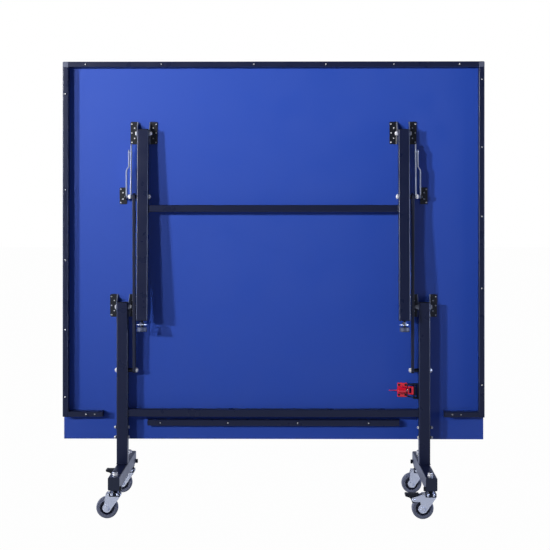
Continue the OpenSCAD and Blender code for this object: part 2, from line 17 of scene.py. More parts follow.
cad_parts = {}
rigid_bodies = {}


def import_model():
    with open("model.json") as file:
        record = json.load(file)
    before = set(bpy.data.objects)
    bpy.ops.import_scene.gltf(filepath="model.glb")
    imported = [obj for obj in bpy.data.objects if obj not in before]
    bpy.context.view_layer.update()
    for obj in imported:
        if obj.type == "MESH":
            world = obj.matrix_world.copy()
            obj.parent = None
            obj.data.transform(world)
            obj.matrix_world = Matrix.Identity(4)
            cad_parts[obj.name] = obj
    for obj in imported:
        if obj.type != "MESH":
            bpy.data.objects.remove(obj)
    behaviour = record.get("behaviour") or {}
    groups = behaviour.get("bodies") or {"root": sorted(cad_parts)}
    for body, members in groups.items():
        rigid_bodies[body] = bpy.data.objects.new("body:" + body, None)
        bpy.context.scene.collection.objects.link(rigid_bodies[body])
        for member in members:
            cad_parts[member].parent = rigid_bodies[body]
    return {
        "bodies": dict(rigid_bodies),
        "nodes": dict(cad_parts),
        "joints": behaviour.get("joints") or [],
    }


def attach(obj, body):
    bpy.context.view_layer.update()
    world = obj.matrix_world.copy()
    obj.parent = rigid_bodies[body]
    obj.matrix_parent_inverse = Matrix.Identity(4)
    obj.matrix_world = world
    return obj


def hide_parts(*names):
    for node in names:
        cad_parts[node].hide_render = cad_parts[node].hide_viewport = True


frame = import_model()

LOG = logging.getLogger("table")
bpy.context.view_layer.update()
MM = 0.001
SHARP = math.radians(32)
JOINTS = {joint["name"]: joint for joint in frame["joints"]}

Box = tuple[Vector, Vector]


class Plane(Enum):
    """The plane an outline is drawn in, and the way it is thickened: towards +Z, +X or -Y."""

    FLOOR = ((1, 0, 0), (0, 1, 0), (0, 0, 1))
    SIDE = ((0, 0, 1), (1, 0, 0), (0, 1, 0))
    FRONT = ((1, 0, 0), (0, 0, -1), (0, 1, 0))

    def place(self, at: Vector) -> Matrix:
        """The matrix that lays an outline's origin on a point of this plane."""
        return Matrix.Translation(at) @ Matrix(self.value).to_4x4()


class Facing(Enum):
    """The way a turned piece's axis points."""

    UP = (0, 0, 1)
    DOWN = (0, 0, -1)
    LEFT = (-1, 0, 0)
    RIGHT = (1, 0, 0)
    FRONT = (0, -1, 0)
    BACK = (0, 1, 0)

    def place(self, at: Vector) -> Matrix:
        """The matrix that stands a turned piece's foot on a point, with its axis this way."""
        turn = Vector((0, 0, 1)).rotation_difference(Vector(self.value))
        return Matrix.Translation(at) @ turn.to_matrix().to_4x4()


class Axis(Enum):
    """The axis a tube or bar runs along."""

    X = 0
    Y = 1
    Z = 2


@dataclass(frozen=True)
class Tilt:
    """How far a folded piece stands off the upright: a turn about a line along X."""

    pivot: Vector
    degrees: float

    def matrix(self) -> Matrix:
        """The matrix that turns an upright piece to its place."""
        foot = Matrix.Translation(self.pivot)
        return foot @ Matrix.Rotation(math.radians(self.degrees), 4, "X") @ foot.inverted()

    def box(self, points: list[Vector]) -> Box:
        """The lowest and highest corner of some points once they are turned back upright."""
        back = self.matrix().inverted()
        turned = [back @ point for point in points]
        return Vector(map(min, zip(*turned))), Vector(map(max, zip(*turned)))


UPRIGHT = Tilt(Vector((0, 0, 0)), 0.0)


def box_mm(node: str, tilt: Tilt = UPRIGHT) -> Box:
    """The lowest and highest corner of a CAD node, upright, in millimetres."""
    return tilt.box([vert.co / MM for vert in frame["nodes"][node].data.vertices])


def solids_mm(node: str, tilt: Tilt = UPRIGHT) -> list[Box]:
    """Finds the separate solids of a CAD node.

    Args:
        node: the node's name.
        tilt: how the node stands off the upright.

    Returns:
        Each solid's lowest and highest corner in millimetres, upright, ordered by the lowest corner.
    """
    part = bmesh.new()
    part.from_mesh(frame["nodes"][node].data)
    bmesh.ops.remove_doubles(part, verts=part.verts, dist=1e-6)
    unseen = set(part.verts)
    boxes = []
    while unseen:
        pile = [unseen.pop()]
        corners = []
        while pile:
            vert = pile.pop()
            corners.append(vert.co / MM)
            near = {edge.other_vert(vert) for edge in vert.link_edges} & unseen
            unseen -= near
            pile += near
        boxes.append(tilt.box(corners))
    part.free()
    return sorted(boxes, key=lambda box: tuple(round(value, 1) for value in box[0]))


def centre_mm(box: Box) -> Vector:
    """The middle of a box."""
    return Vector([(low + high) / 2 for low, high in zip(*box)])


def pivot_mm(joint: str) -> Vector:
    """The place of a hinge's axis, in millimetres."""
    return Vector(JOINTS[joint]["pos_m"]) / MM


def travel(joint: str) -> float:
    """How far a hinge turns between its limits, in degrees."""
    low, high = JOINTS[joint]["range_deg"]
    return high - low


def leg_tilt() -> Tilt:
    """How the folding legs stand off the board in storage: what their travel lacks of a quarter turn."""
    return Tilt(pivot_mm("leg_fold"), travel("leg_fold") - 90.0)


def verts_in(geometry: list) -> list:
    """The vertices among some geometry."""
    return [g for g in geometry if isinstance(g, bmesh.types.BMVert)]


def arc(centre: tuple[float, float], radius: float, start: float, end: float, steps: int) -> list:
    """Points along an arc.

    Args:
        centre: the arc's centre in its plane.
        radius: its radius.
        start: the angle of the first point, in degrees from the first axis towards the second.
        end: the angle of the last point.
        steps: the number of chords.

    Returns:
        The points, the first and the last one included.
    """
    angles = [math.radians(start + (end - start) * i / steps) for i in range(steps + 1)]
    return [(centre[0] + radius * math.cos(a), centre[1] + radius * math.sin(a)) for a in angles]


def round_bar(low: float, high: float, radius: float, steps: int) -> list:
    """The outline of a bar with round ends, between two heights on the axis."""
    foot = arc((0, low + radius), radius, 180, 360, steps)
    return foot + arc((0, high - radius), radius, 0, 180, steps)


# ---- Finishes ----


def linear(colour: str) -> tuple[float, float, float, float]:
    """The linear colour, with full alpha, of an sRGB hex value such as #23283a."""
    channels = [int(colour[i : i + 2], 16) / 255 for i in (1, 3, 5)]
    steps = [c / 12.92 if c <= 0.04045 else ((c + 0.055) / 1.055) ** 2.4 for c in channels]
    return (*steps, 1.0)


def add_node(tree: bpy.types.NodeTree, kind: str, settings: dict | None = None,
             links: dict | None = None) -> bpy.types.Node:
    """Adds a node to a shader tree.

    Args:
        tree: the tree.
        kind: the node's Blender type.
        settings: values by the name of an attribute, or by the name or number of an input.
        links: sockets that feed its inputs, by the input's name or number.

    Returns:
        The new node.
    """
    node = tree.nodes.new(kind)
    for key, value in (settings or {}).items():
        if isinstance(key, str) and hasattr(node, key):
            setattr(node, key, value)
        else:
            node.inputs[key].default_value = value
    for key, socket in (links or {}).items():
        tree.links.new(socket, node.inputs[key])
    return node


def empty_tree(owner: bpy.types.Material | bpy.types.World) -> bpy.types.NodeTree:
    """The shader tree of a material or world, without nodes."""
    owner.use_nodes = True
    owner.node_tree.nodes.clear()
    return owner.node_tree


@dataclass(frozen=True)
class Finish:
    """A surface finish: the numbers its shader takes, with the size of its grain in millimetres."""

    name: str
    colour: str
    roughness: float
    metallic: float = 0.0
    ior: float = 1.5
    coat: float = 0.0
    grain: float = 0.0
    depth: float = 0.0
    mottle: float = 0.0
    mottle_size: float = 60.0

    def material(self) -> bpy.types.Material:
        """The finish's material, made the first time it is asked for."""
        known = bpy.data.materials.get(self.name)
        if known:
            return known
        made = bpy.data.materials.new(self.name)
        tree = empty_tree(made)
        settings = {"Base Color": linear(self.colour), "Roughness": self.roughness,
                    "Metallic": self.metallic, "Coat Weight": self.coat, "Coat Roughness": 0.06}
        if self.metallic < 0.5:
            settings["IOR"] = self.ior
        shader = add_node(tree, "ShaderNodeBsdfPrincipled", settings)
        place = add_node(tree, "ShaderNodeTexCoord").outputs["Object"]
        if self.grain > 0:
            noise = add_node(tree, "ShaderNodeTexNoise", {"Scale": 1 / (self.grain * MM), "Detail": 2.0},
                             {"Vector": place})
            bump = add_node(tree, "ShaderNodeBump", {"Distance": self.depth * MM},
                            {"Height": noise.outputs["Fac"]})
            tree.links.new(bump.outputs["Normal"], shader.inputs["Normal"])
        if self.mottle > 0:
            cloud = add_node(tree, "ShaderNodeTexNoise", {"Scale": 1 / (self.mottle_size * MM),
                                                          "Detail": 3.0}, {"Vector": place})
            spread = add_node(tree, "ShaderNodeMapRange",
                              {"From Min": 0.3, "From Max": 0.7, "To Min": self.roughness - self.mottle,
                               "To Max": self.roughness + self.mottle}, {"Value": cloud.outputs["Fac"]})
            tree.links.new(spread.outputs["Result"], shader.inputs["Roughness"])
        add_node(tree, "ShaderNodeOutputMaterial", None, {"Surface": shader.outputs["BSDF"]})
        return made


# Polyester powder coat on welded steel tube: near-black navy, smooth enough that a face seen edge-on
# takes a pale sheen. Real orange peel is about 1.5 mm across and is drawn at 5 mm, so that it shows.
NAVY_POWDER_COAT = Finish("navy_powder_coat", "#1b2240", 0.30, ior=1.4, grain=5.0, depth=0.04, mottle=0.04)
# The same coat in black on stamped plates: a bluish black, satin.
BLACK_POWDER_COAT = Finish("black_powder_coat", "#0f1119", 0.36, grain=5.0, depth=0.05)
# The black plates' front-facing cut edges, drawn pale and metallic: a painted highlight along those edges.
PAINTED_EDGE_HIGHLIGHT = Finish("painted_plate_edge_highlight", "#a2a8b8", 0.34, metallic=0.5)
# Knee stays: steel strip drawn as dull zinc all over, a painted highlight standing for the bright line along
# their front edges.
STAY_PAINTED_HIGHLIGHT_ZINC = Finish("stay_strip_painted_highlight", "#a9b1c4", 0.36, metallic=0.4)
# The link bars' coat: darker than the tubes beside them, and still navy.
DARK_NAVY_COAT = Finish("dark_navy_coat", "#131a36", 0.34, grain=5.0, depth=0.04)
# Roller-coated chipboard, the side that faces down in play: even royal blue under a soft pale haze. The
# roller's texture, about 1 mm across, is drawn at 6 mm, and its faint clouds of gloss at 90 mm.
BLUE_BOARD_COAT = Finish("blue_board_coat", "#264fbb", 0.52, ior=1.42, grain=6.0, depth=0.03,
                         mottle=0.05, mottle_size=90.0)
# The playing face: the same lacquer, ground matt so that the ball grips and the lamps don't glare.
PLAYING_LACQUER = Finish("playing_lacquer", "#2a49a0", 0.62, grain=6.0, depth=0.02)
# Screen-printed line paint, chalky white.
WHITE_LINE_PAINT = Finish("white_line_paint", "#e9ebee", 0.55)
# Bright zinc plate on the pressed caster forks and the rivets; on the front faces of the levellers' teeth it
# is a painted glint. Most of its light is the chalky scatter of a passivated plating, which keeps small
# pieces bright from every side.
ZINC_PLATE_AND_GLINT_PAINT = Finish("zinc_plate_and_glint_paint", "#ecf1fb", 0.25, metallic=0.4, mottle=0.03, mottle_size=12.0)
# The small fasteners: zinc drawn near-white and non-metallic under a clear coat, a painted highlight that
# keeps them as bright as glints from every side.
ZINC_WITH_PAINTED_HIGHLIGHT = Finish("zinc_with_painted_highlight", "#fdfdff", 0.3, coat=1.0)
# Black passivated zinc, dark with a metal glint: the sleeves' own finish, and painted shade on the screw rims
# round their painted glints, on the levellers' studs, discs and jam nuts under the legs, and on the casters'
# race cups, crowns and guards under the beams.
BLACK_ZINC_AND_PAINTED_SHADE = Finish("black_zinc_and_painted_shade", "#1b1e28", 0.34, metallic=0.6)
# Spring steel wire, drawn and bare: brighter and glossier than the plated pieces.
SPRING_WIRE = Finish("spring_wire", "#d4d6da", 0.2, metallic=1.0)
# Injection-moulded polypropylene caps and pedals, black. The mould's spark-eroded grain, a few tenths of a
# millimetre in life, is drawn at 4 mm here and on the other mouldings, so that it shows.
BLACK_PLASTIC = Finish("black_moulded_plastic", "#0e1018", 0.44, ior=1.4, grain=4.0, depth=0.03)
# The beams' end caps are moulded in the tubes' navy.
NAVY_PLASTIC = Finish("navy_moulded_plastic", "#1b2238", 0.40, ior=1.49, grain=4.0, depth=0.03)
# The corner caps are a mid-grey moulding that looks paler than the tubes.
GREY_CORNER_PLASTIC = Finish("grey_corner_plastic", "#5b6076", 0.42, ior=1.49)
# Levelling feet: mid-grey polyethylene, waxy and soft in its shine.
GREY_PLASTIC = Finish("grey_foot_plastic", "#434d6b", 0.55, ior=1.51, grain=4.0, depth=0.04)
# Wheel centres: moulded nylon, very dark blue, slightly glossy.
DARK_NYLON = Finish("dark_nylon_hub", "#171b33", 0.34, ior=1.53)
# Tyres: thermoplastic rubber, cool mid grey and nearly matt.
GREY_TYRE_RUBBER = Finish("grey_tyre_rubber", "#72778c", 0.62, ior=1.52, grain=4.0, depth=0.05)
# Latch mouldings: acetal, glossy signal red.
RED_ACETAL = Finish("red_gloss_acetal", "#fa1934", 0.16, ior=1.5, coat=0.8)


# ---- Shapes ----


@dataclass
class Shape:
    """A mesh in the making, in millimetres. Each method adds one closed solid to it."""

    mesh: bmesh.types.BMesh = field(default_factory=bmesh.new)

    def take(self, part: bmesh.types.BMesh, place: Matrix | None = None, ease: float = 0.0,
             coat: int = 0) -> None:
        """Adds a finished solid.

        Args:
            part: the solid, which is used up.
            place: the matrix that puts it in place.
            ease: the radius that its sharp edges are rounded to.
            coat: the number of its finish.
        """
        bmesh.ops.remove_doubles(part, verts=part.verts, dist=1e-4)
        bmesh.ops.recalc_face_normals(part, faces=part.faces)
        if ease > 0:
            sharp = [e for e in part.edges if e.is_manifold and e.calc_face_angle(0.0) > SHARP]
            bmesh.ops.bevel(part, geom=sharp, offset=ease, affect="EDGES", segments=2, profile=0.5,
                            material=-1, clamp_overlap=True)
        for face in part.faces:
            face.material_index = coat
        if place is not None:
            bmesh.ops.transform(part, matrix=place, verts=part.verts)
            if place.determinant() < 0:
                bmesh.ops.reverse_faces(part, faces=part.faces)
        swap = bpy.data.meshes.new("swap")
        part.to_mesh(swap)
        self.mesh.from_mesh(swap)
        bpy.data.meshes.remove(swap)
        part.free()

    @staticmethod
    def bar(low: Vector, high: Vector, corner: float, along: Axis) -> bmesh.types.BMesh:
        """A box between two corners, its edges along one axis rounded to a radius."""
        low, high = Vector(low), Vector(high)
        part = bmesh.new()
        bmesh.ops.create_cube(part, size=1.0)
        bmesh.ops.scale(part, vec=high - low, verts=part.verts)
        bmesh.ops.translate(part, vec=(low + high) / 2, verts=part.verts)
        if corner > 0:
            across = [i for i in range(3) if i != along.value]
            edges = [e for e in part.edges
                     if all(abs(e.verts[0].co[i] - e.verts[1].co[i]) < 1e-6 for i in across)]
            bmesh.ops.bevel(part, geom=edges, offset=corner, affect="EDGES", segments=4, profile=0.5,
                            material=-1)
        return part

    def block(self, low: Vector, high: Vector, corner: float = 0.0, along: Axis = Axis.Z,
              ease: float = 0.0, coat: int = 0) -> None:
        """Adds a solid bar between two corners, rounded along one axis and eased all round."""
        self.take(self.bar(low, high, corner, along), None, ease, coat)

    def tube(self, low: Vector, high: Vector, along: Axis, wall: float, corner: float) -> None:
        """Adds an open rectangular tube between two corners."""
        part = self.bar(low, high, corner, along)
        part.normal_update()
        ends = [f for f in part.faces if abs(f.normal[along.value]) > 0.9]
        bmesh.ops.delete(part, geom=ends, context="FACES_ONLY")
        bmesh.ops.recalc_face_normals(part, faces=part.faces)
        outside = max(v.co[(along.value + 1) % 3] for v in part.verts)
        bmesh.ops.solidify(part, geom=part.faces[:], thickness=wall)
        if max(v.co[(along.value + 1) % 3] for v in part.verts) > outside + 0.1:
            raise ValueError("a tube's wall grew outwards")
        self.take(part)

    @staticmethod
    def spun(profile: list, steps: int) -> bmesh.types.BMesh:
        """The surface that a profile of (radius, height) points sweeps about its axis."""
        part = bmesh.new()
        verts = [part.verts.new((radius, 0, height)) for radius, height in profile]
        edges = [part.edges.new(pair) for pair in zip(verts, verts[1:])]
        if profile[0][0] > 0 and profile[-1][0] > 0:
            edges.append(part.edges.new((verts[-1], verts[0])))
        bmesh.ops.spin(part, geom=verts + edges, cent=(0, 0, 0), axis=(0, 0, 1), angle=math.tau,
                       steps=steps, use_merge=True)
        return part

    def turned(self, profile: list, at: Vector, facing: Facing = Facing.UP, steps: int = 32,
               coat: int = 0) -> None:
        """Adds a turned solid.

        Args:
            profile: (radius, height) points from the foot to the tip, on the axis at both ends or a
                closed ring.
            at: the foot of the axis.
            facing: the way the axis points.
            steps: the number of flats round the axis.
            coat: the number of its finish.
        """
        self.take(self.spun(profile, steps), facing.place(Vector(at)), 0.0, coat)

    def rod(self, radius: float, length: float, at: Vector, facing: Facing, ease: float = 0.5,
            steps: int = 24, coat: int = 0) -> None:
        """Adds a round bar with eased ends."""
        self.turned([(0, 0), (radius - ease, 0), (radius, ease), (radius, length - ease),
                     (radius - ease, length), (0, length)], at, facing, steps, coat)

    def ring(self, inner: float, outer: float, length: float, at: Vector, facing: Facing,
             coat: int = 0) -> None:
        """Adds a washer or sleeve with a bore."""
        ease = 0.2
        self.turned([(inner, 0), (outer - ease, 0), (outer, ease), (outer, length - ease),
                     (outer - ease, length), (inner, length)], at, facing, 32, coat)

    def hexagon(self, across: float, height: float, at: Vector, facing: Facing,
                coat: int = 0) -> None:
        """Adds a hexagonal head or nut body with rounded corners."""
        part = bmesh.new()
        bmesh.ops.create_cone(part, cap_ends=True, segments=6, radius1=across / math.sqrt(3),
                              radius2=across / math.sqrt(3), depth=height)
        bmesh.ops.translate(part, vec=(0, 0, height / 2), verts=part.verts)
        self.take(part, facing.place(Vector(at)), 0.6, coat)

    def plate(self, outline: list, thickness: float, plane: Plane, at: Vector, ease: float = 0.5,
              coat: int = 0) -> None:
        """Adds a flat plate.

        Args:
            outline: (u, v) corners in order, or (u, v, radius) for a rounded one.
            thickness: its thickness.
            plane: the plane it is drawn in.
            at: the place of the outline's origin.
            ease: the radius of its edges.
            coat: the number of its finish.
        """
        part = bmesh.new()
        verts = [part.verts.new((point[0], point[1], 0)) for point in outline]
        part.faces.new(verts)
        for vert, point in zip(verts, outline):
            if len(point) > 2:
                bmesh.ops.bevel(part, geom=[vert], offset=point[2], affect="VERTICES", segments=4,
                                profile=0.5, material=-1)
        grown = bmesh.ops.extrude_face_region(part, geom=part.faces[:])["geom"]
        bmesh.ops.translate(part, vec=(0, 0, thickness), verts=verts_in(grown))
        self.take(part, plane.place(Vector(at)), ease, coat)

    def coil(self, radius: float, wire: float, length: float, turns: int, at: Vector,
             facing: Facing) -> None:
        """Adds a helical spring of round wire."""
        part = bmesh.new()
        start = bmesh.ops.create_circle(part, cap_ends=False, segments=8, radius=wire / 2)["verts"]
        bmesh.ops.rotate(part, verts=start, cent=(0, 0, 0), matrix=Matrix.Rotation(math.pi / 2, 3, "X"))
        bmesh.ops.translate(part, verts=start, vec=(radius, 0, 0))
        steps = 20 * turns
        bmesh.ops.spin(part, geom=part.verts[:] + part.edges[:], cent=(0, 0, 0), axis=(0, 0, 1),
                       angle=math.tau * turns, steps=steps, dvec=(0, 0, length / steps))
        bmesh.ops.holes_fill(part, edges=[e for e in part.edges if e.is_boundary])
        self.take(part, facing.place(Vector(at)))

    def bead(self, low: Vector, high: Vector, along: Axis) -> None:
        """Adds the fillet weld round a rectangular tube's end, as a collar that slopes to nothing."""
        self.block(low, high, 2.0, along, 1.4)

    def all_of_it(self) -> list:
        """Every vertex, edge and face so far."""
        return self.mesh.verts[:] + self.mesh.edges[:] + self.mesh.faces[:]

    def flip(self, geometry: list | None = None, axis: Axis = Axis.X) -> None:
        """Moves some geometry, or else everything, to the other side of the plane across an axis."""
        geometry = geometry or self.all_of_it()
        way = [-1 if i == axis.value else 1 for i in range(3)]
        bmesh.ops.scale(self.mesh, vec=way, verts=verts_in(geometry))
        bmesh.ops.reverse_faces(self.mesh, faces=[g for g in geometry if isinstance(g, bmesh.types.BMFace)])

    def mirror(self, axis: Axis = Axis.X) -> None:
        """Repeats everything so far on the other side of the plane across an axis."""
        self.flip(bmesh.ops.duplicate(self.mesh, geom=self.all_of_it())["geom"], axis)

    def recoat(self, start: int, facing: Facing, coat: int, likeness: float = 0.6) -> None:
        """Gives another finish to faces that were added since a count.

        Args:
            start: the count of faces.
            facing: the way that the faces to change look.
            coat: the number of the finish.
            likeness: the least cosine between that way and a face's own.
        """
        self.mesh.faces.ensure_lookup_table()
        self.mesh.normal_update()
        for face in self.mesh.faces[start:]:
            if face.normal.dot(Vector(facing.value)) > likeness:
                face.material_index = coat

    def lean(self, tilt: Tilt) -> None:
        """Turns everything so far from the upright to its folded place."""
        bmesh.ops.transform(self.mesh, matrix=tilt.matrix(), verts=self.mesh.verts)

    def piece(self, name: str, body: str, finishes: list[Finish], slot: str,
              *nodes: str) -> bpy.types.Object:
        """Turns the shape into an object of the scene.

        Args:
            name: the piece's name.
            body: the CAD body it moves with.
            finishes: its finishes, in the order of the coat numbers.
            slot: the record's material slot of its main finish; not used.
            nodes: the CAD nodes it stands for.

        Returns:
            The object, in metres, with flats and rounded edges shaded apart.
        """
        bmesh.ops.scale(self.mesh, vec=(MM, MM, MM), verts=self.mesh.verts)
        for face in self.mesh.faces:
            face.smooth = True
        for edge in self.mesh.edges:
            edge.smooth = not edge.is_manifold or edge.calc_face_angle(0.0) < SHARP
        data = bpy.data.meshes.new(name)
        self.mesh.to_mesh(data)
        self.mesh.free()
        for finish in finishes:
            data.materials.append(finish.material())
        made = bpy.data.objects.new(name, data)
        bpy.context.scene.collection.objects.link(made)
        weighted = made.modifiers.new("flat_faces_stay_flat", "WEIGHTED_NORMAL")
        weighted.keep_sharp = True
        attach(made, body)
        if nodes:
            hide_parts(*nodes)
        LOG.info("%s: %d faces on %s", name, len(data.polygons), body)
        return made


# ---- Fasteners ----


@dataclass
class PanScrew:
    """A pan-head wood screw with a cross recess, driven towards +Y."""

    head: float = 4.0
    height: float = 2.2
    recess: float = 0.9

    def draw_all(self, node: str, glint_coat: int = 0) -> Shape:
        """A head at each screw of a CAD node."""
        shape = Shape()
        for low, high in solids_mm(node):
            middle = centre_mm((low, high))
            self._draw(shape, (middle.x, low.y + self.height, middle.z), glint_coat)
        return shape

    def _draw(self, shape: Shape, at: Vector, glint_coat: int) -> None:
        """Adds the head, its seat on a face at the given point, its crown in a finish of its own, which is a
        painted glint when it is the bright one.
        """
        part = shape.spun([(0, 0), (self.head, 0), (self.head, 0.7), (self.head - 0.5, self.height - 0.5),
                           (self.head - 1.5, self.height), (0, self.height)], 16)
        bmesh.ops.remove_doubles(part, verts=part.verts, dist=1e-4)
        bmesh.ops.recalc_face_normals(part, faces=part.faces)
        crown = [f for f in part.faces if f.normal.z > 0.99]
        crown.sort(key=lambda f: math.atan2(f.calc_center_median().y, f.calc_center_median().x))
        sunk = bmesh.ops.extrude_face_region(part, geom=crown[::4])["geom"]
        bmesh.ops.translate(part, vec=(0, 0, -self.recess), verts=verts_in(sunk))
        bmesh.ops.delete(part, geom=crown[::4], context="FACES_ONLY")
        before = len(shape.mesh.faces)
        shape.take(part, Facing.FRONT.place(Vector(at)))
        # Painted glint: the crown's flat faces take the finish numbered glint_coat; where that is the bright
        # zinc, the rest of the head stays black zinc as painted shade round it.
        shape.recoat(before, Facing.FRONT, glint_coat, 0.99)


@dataclass
class HexBolt:
    """A hexagon bolt or nut with its washer and the end of its shank."""

    across: float = 13.0
    head: float = 4.2
    washer: float = 8.0
    washer_t: float = 0.8
    shank: float = 4.0
    nut: float = 5.4
    collar: float = 1.8
    play: float = 0.02
    sleeve: float = 7.5

    def draw_head(self, shape: Shape, at: Vector, facing: Facing) -> None:
        """Adds a head on its washer, its seat at the given point."""
        self._hexagon(shape, at, facing, self.head)

    def draw_nut(self, shape: Shape, at: Vector, facing: Facing) -> None:
        """Adds a locking nut with its collar and the shank's end, its seat at the given point."""
        self._hexagon(shape, at, facing, self.nut)
        shape.turned([(0, 0), (self.across / 2 - 0.4, 0), (self.across / 2 - 1.2, self.collar),
                      (self.shank, self.collar), (self.shank, self.collar + 0.6),
                      (self.shank - 0.8, self.collar + 1.4), (0, self.collar + 1.4)],
                     Vector(at) + Vector(facing.value) * (self.washer_t + self.nut), facing, 24)

    def draw_shank(self, shape: Shape, length: float, at: Vector, facing: Facing) -> None:
        """Adds the plain part of the shank, from the given point."""
        shape.rod(self.shank - self.play, length, at, facing)

    def draw_sleeve(self, shape: Shape, length: float, at: Vector) -> None:
        """Adds a spacer sleeve round the shank, from the given point towards +X, in the second finish."""
        shape.ring(self.shank + 0.1, self.sleeve, length, at, Facing.RIGHT, coat=1)

    def _hexagon(self, shape: Shape, at: Vector, facing: Facing, height: float) -> None:
        """Adds the washer and a hexagon of some height on it."""
        shape.turned([(0, 0), (self.washer, 0), (self.washer, self.washer_t), (0, self.washer_t)],
                     at, facing)
        shape.hexagon(self.across, height, Vector(at) + Vector(facing.value) * self.washer_t, facing)


@dataclass(frozen=True)
class Rivet:
    """A domed rivet head."""

    radius: float = 6.0
    height: float = 2.0

    def draw(self, shape: Shape, at: Vector, facing: Facing, coat: int = 0) -> None:
        """Adds the head, its seat at the given point."""
        dome = [(self.radius * math.cos(a), self.height * math.sin(a))
                for a in (math.radians(15 * i) for i in range(6))]
        shape.turned([(0, 0)] + dome + [(0, self.height)], at, facing, 24, coat)


PAN_SCREW = PanScrew()
M8_BOLT = HexBolt()
M6_BOLT = HexBolt(across=10.0, head=4.6, washer=5.4, shank=3.0, nut=4.2, collar=0.6, sleeve=5.4)
LINK_BOLT = HexBolt(across=16.0, head=3.6, washer=8.6, nut=4.8)
AXLE_BOLT = HexBolt(head=3.2, washer=7.2)
PIN_RADIUS = 2.98
KNEE_RIVET = 1.8


# ---- Table top ----


@dataclass
class TableTop:
    """The coated board, with the lines of the playing face."""

    edge_line: float = 20.0
    centre_line: float = 3.0
    edge: float = 1.0
    body: str = "tabletop"

    def build(self) -> None:
        """Makes the board, cut along its lines so that each can have its own paint."""
        low, high = box_mm("board")
        shape = Shape()
        shape.block(low, high, ease=self.edge)
        cuts = [((x, 0, 0), (1, 0, 0)) for x in (low.x + self.edge_line, -self.centre_line / 2,
                                                self.centre_line / 2, high.x - self.edge_line)]
        cuts.append(((0, 0, high.z - self.edge_line), (0, 0, 1)))
        for point, normal in cuts:
            bmesh.ops.bisect_plane(shape.mesh, geom=shape.all_of_it(), plane_co=point, plane_no=normal)
        shape.mesh.normal_update()
        for face in shape.mesh.faces:
            if face.normal.y > 0.5:
                face.material_index = self._paint(face.calc_center_median(), low, high)
        shape.piece("coated_board", self.body, [BLUE_BOARD_COAT, PLAYING_LACQUER, WHITE_LINE_PAINT],
                    "board_underside", "board")

    def _paint(self, centre: Vector, low: Vector, high: Vector) -> int:
        """The coat of a part of the playing face: lacquer, or line paint on a line."""
        on_edge = centre.x < low.x + self.edge_line or centre.x > high.x - self.edge_line
        on_end = centre.z > high.z - self.edge_line
        on_middle = abs(centre.x) < self.centre_line / 2
        return 2 if on_edge or on_end or on_middle else 1


@dataclass
class Aprons:
    """The steel tubes that frame the board's underside, with their caps and screws."""

    wall: float = 1.5
    corner: float = 2.6
    plug: float = 9.0
    cap_corner: float = 4.0
    body: str = "tabletop"

    def build(self) -> None:
        """Makes the four tubes and returns, the corner caps and the screws."""
        shape = Shape()
        shape.tube(*box_mm("end_apron"), Axis.X, self.wall, self.corner)
        shape.piece("end_rail_tube", self.body, [NAVY_POWDER_COAT], "dark_steel", "end_apron")
        for side in ("left", "right"):
            low, high = box_mm(f"side_apron_{side}")
            shape = Shape()
            shape.tube(low, high, Axis.Z, self.wall, self.corner)
            self._plug(shape, low, Vector((high.x, high.y, low.z + self.plug)), Axis.Z)
            shape.piece(f"side_rail_tube_{side}", self.body, [NAVY_POWDER_COAT, BLACK_PLASTIC],
                        "dark_steel", f"side_apron_{side}")
        self._returns()
        self._net_rail()
        self._caps()
        # Screw heads with painted glints on their crowns and painted shade on their rims.
        shape = PAN_SCREW.draw_all("apron_screws", 1)
        shape.piece("rail_screw_heads", self.body, [BLACK_ZINC_AND_PAINTED_SHADE, ZINC_WITH_PAINTED_HIGHLIGHT], "zinc", "apron_screws")

    def _plug(self, shape: Shape, low: Vector, high: Vector, along: Axis) -> None:
        """Adds a moulded plug that closes a tube between two corners of its outside."""
        inset = Vector([0.4 if i == along.value else self.wall + 0.05 for i in range(3)])
        shape.block(Vector(low) + inset, Vector(high) - inset, 1.2, along, 0.4, coat=1)

    def _returns(self) -> None:
        """Makes the short returns that end the side tubes, each with a weld at the side tube."""
        shape = Shape()
        for low, high in solids_mm("apron_returns"):
            side = 1 if low.x > 0 else -1
            shape.tube(low, high, Axis.X, self.wall, self.corner)
            free = low.x if side > 0 else high.x
            ends = sorted((free, free + side * self.plug))
            self._plug(shape, Vector((ends[0], low.y, low.z)), Vector((ends[1], high.y, high.z)), Axis.X)
            weld = high.x if side > 0 else low.x
            ends = sorted((weld, weld - side * 2.5))
            shape.bead((ends[0], low.y + 1, low.z + 0.3), (ends[1], high.y - 1, high.z + 2.2), Axis.X)
        shape.piece("rail_return_tubes", self.body, [NAVY_POWDER_COAT, BLACK_PLASTIC], "dark_steel",
                    "apron_returns")

    def _net_rail(self) -> None:
        """Makes the rail that stiffens the net edge, plugged at both ends."""
        low, high = box_mm("net_edge_rail")
        shape = Shape()
        shape.tube(low, high, Axis.X, self.wall, self.corner)
        self._plug(shape, low, Vector((low.x + self.plug, high.y, high.z)), Axis.X)
        self._plug(shape, Vector((high.x - self.plug, low.y, low.z)), high, Axis.X)
        shape.piece("net_rail_tube", self.body, [NAVY_POWDER_COAT, BLACK_PLASTIC], "dark_steel",
                    "net_edge_rail")

    def _caps(self) -> None:
        """Makes the moulded corner caps, rounded at the table's outer corner."""
        low, high = box_mm("apron_corner_caps")
        side_low, side_high = box_mm("side_apron_right")
        shape = Shape()
        shape.plate([(side_low.x, side_high.z), (high.x, side_high.z),
                     (high.x, high.z, self.cap_corner), (side_low.x, high.z)],
                    high.y - low.y, Plane.FRONT, (0, high.y, 0), ease=0.8)
        shape.mirror()
        shape.piece("moulded_corner_caps", self.body, [GREY_CORNER_PLASTIC], "black_plastic",
                    "apron_corner_caps")


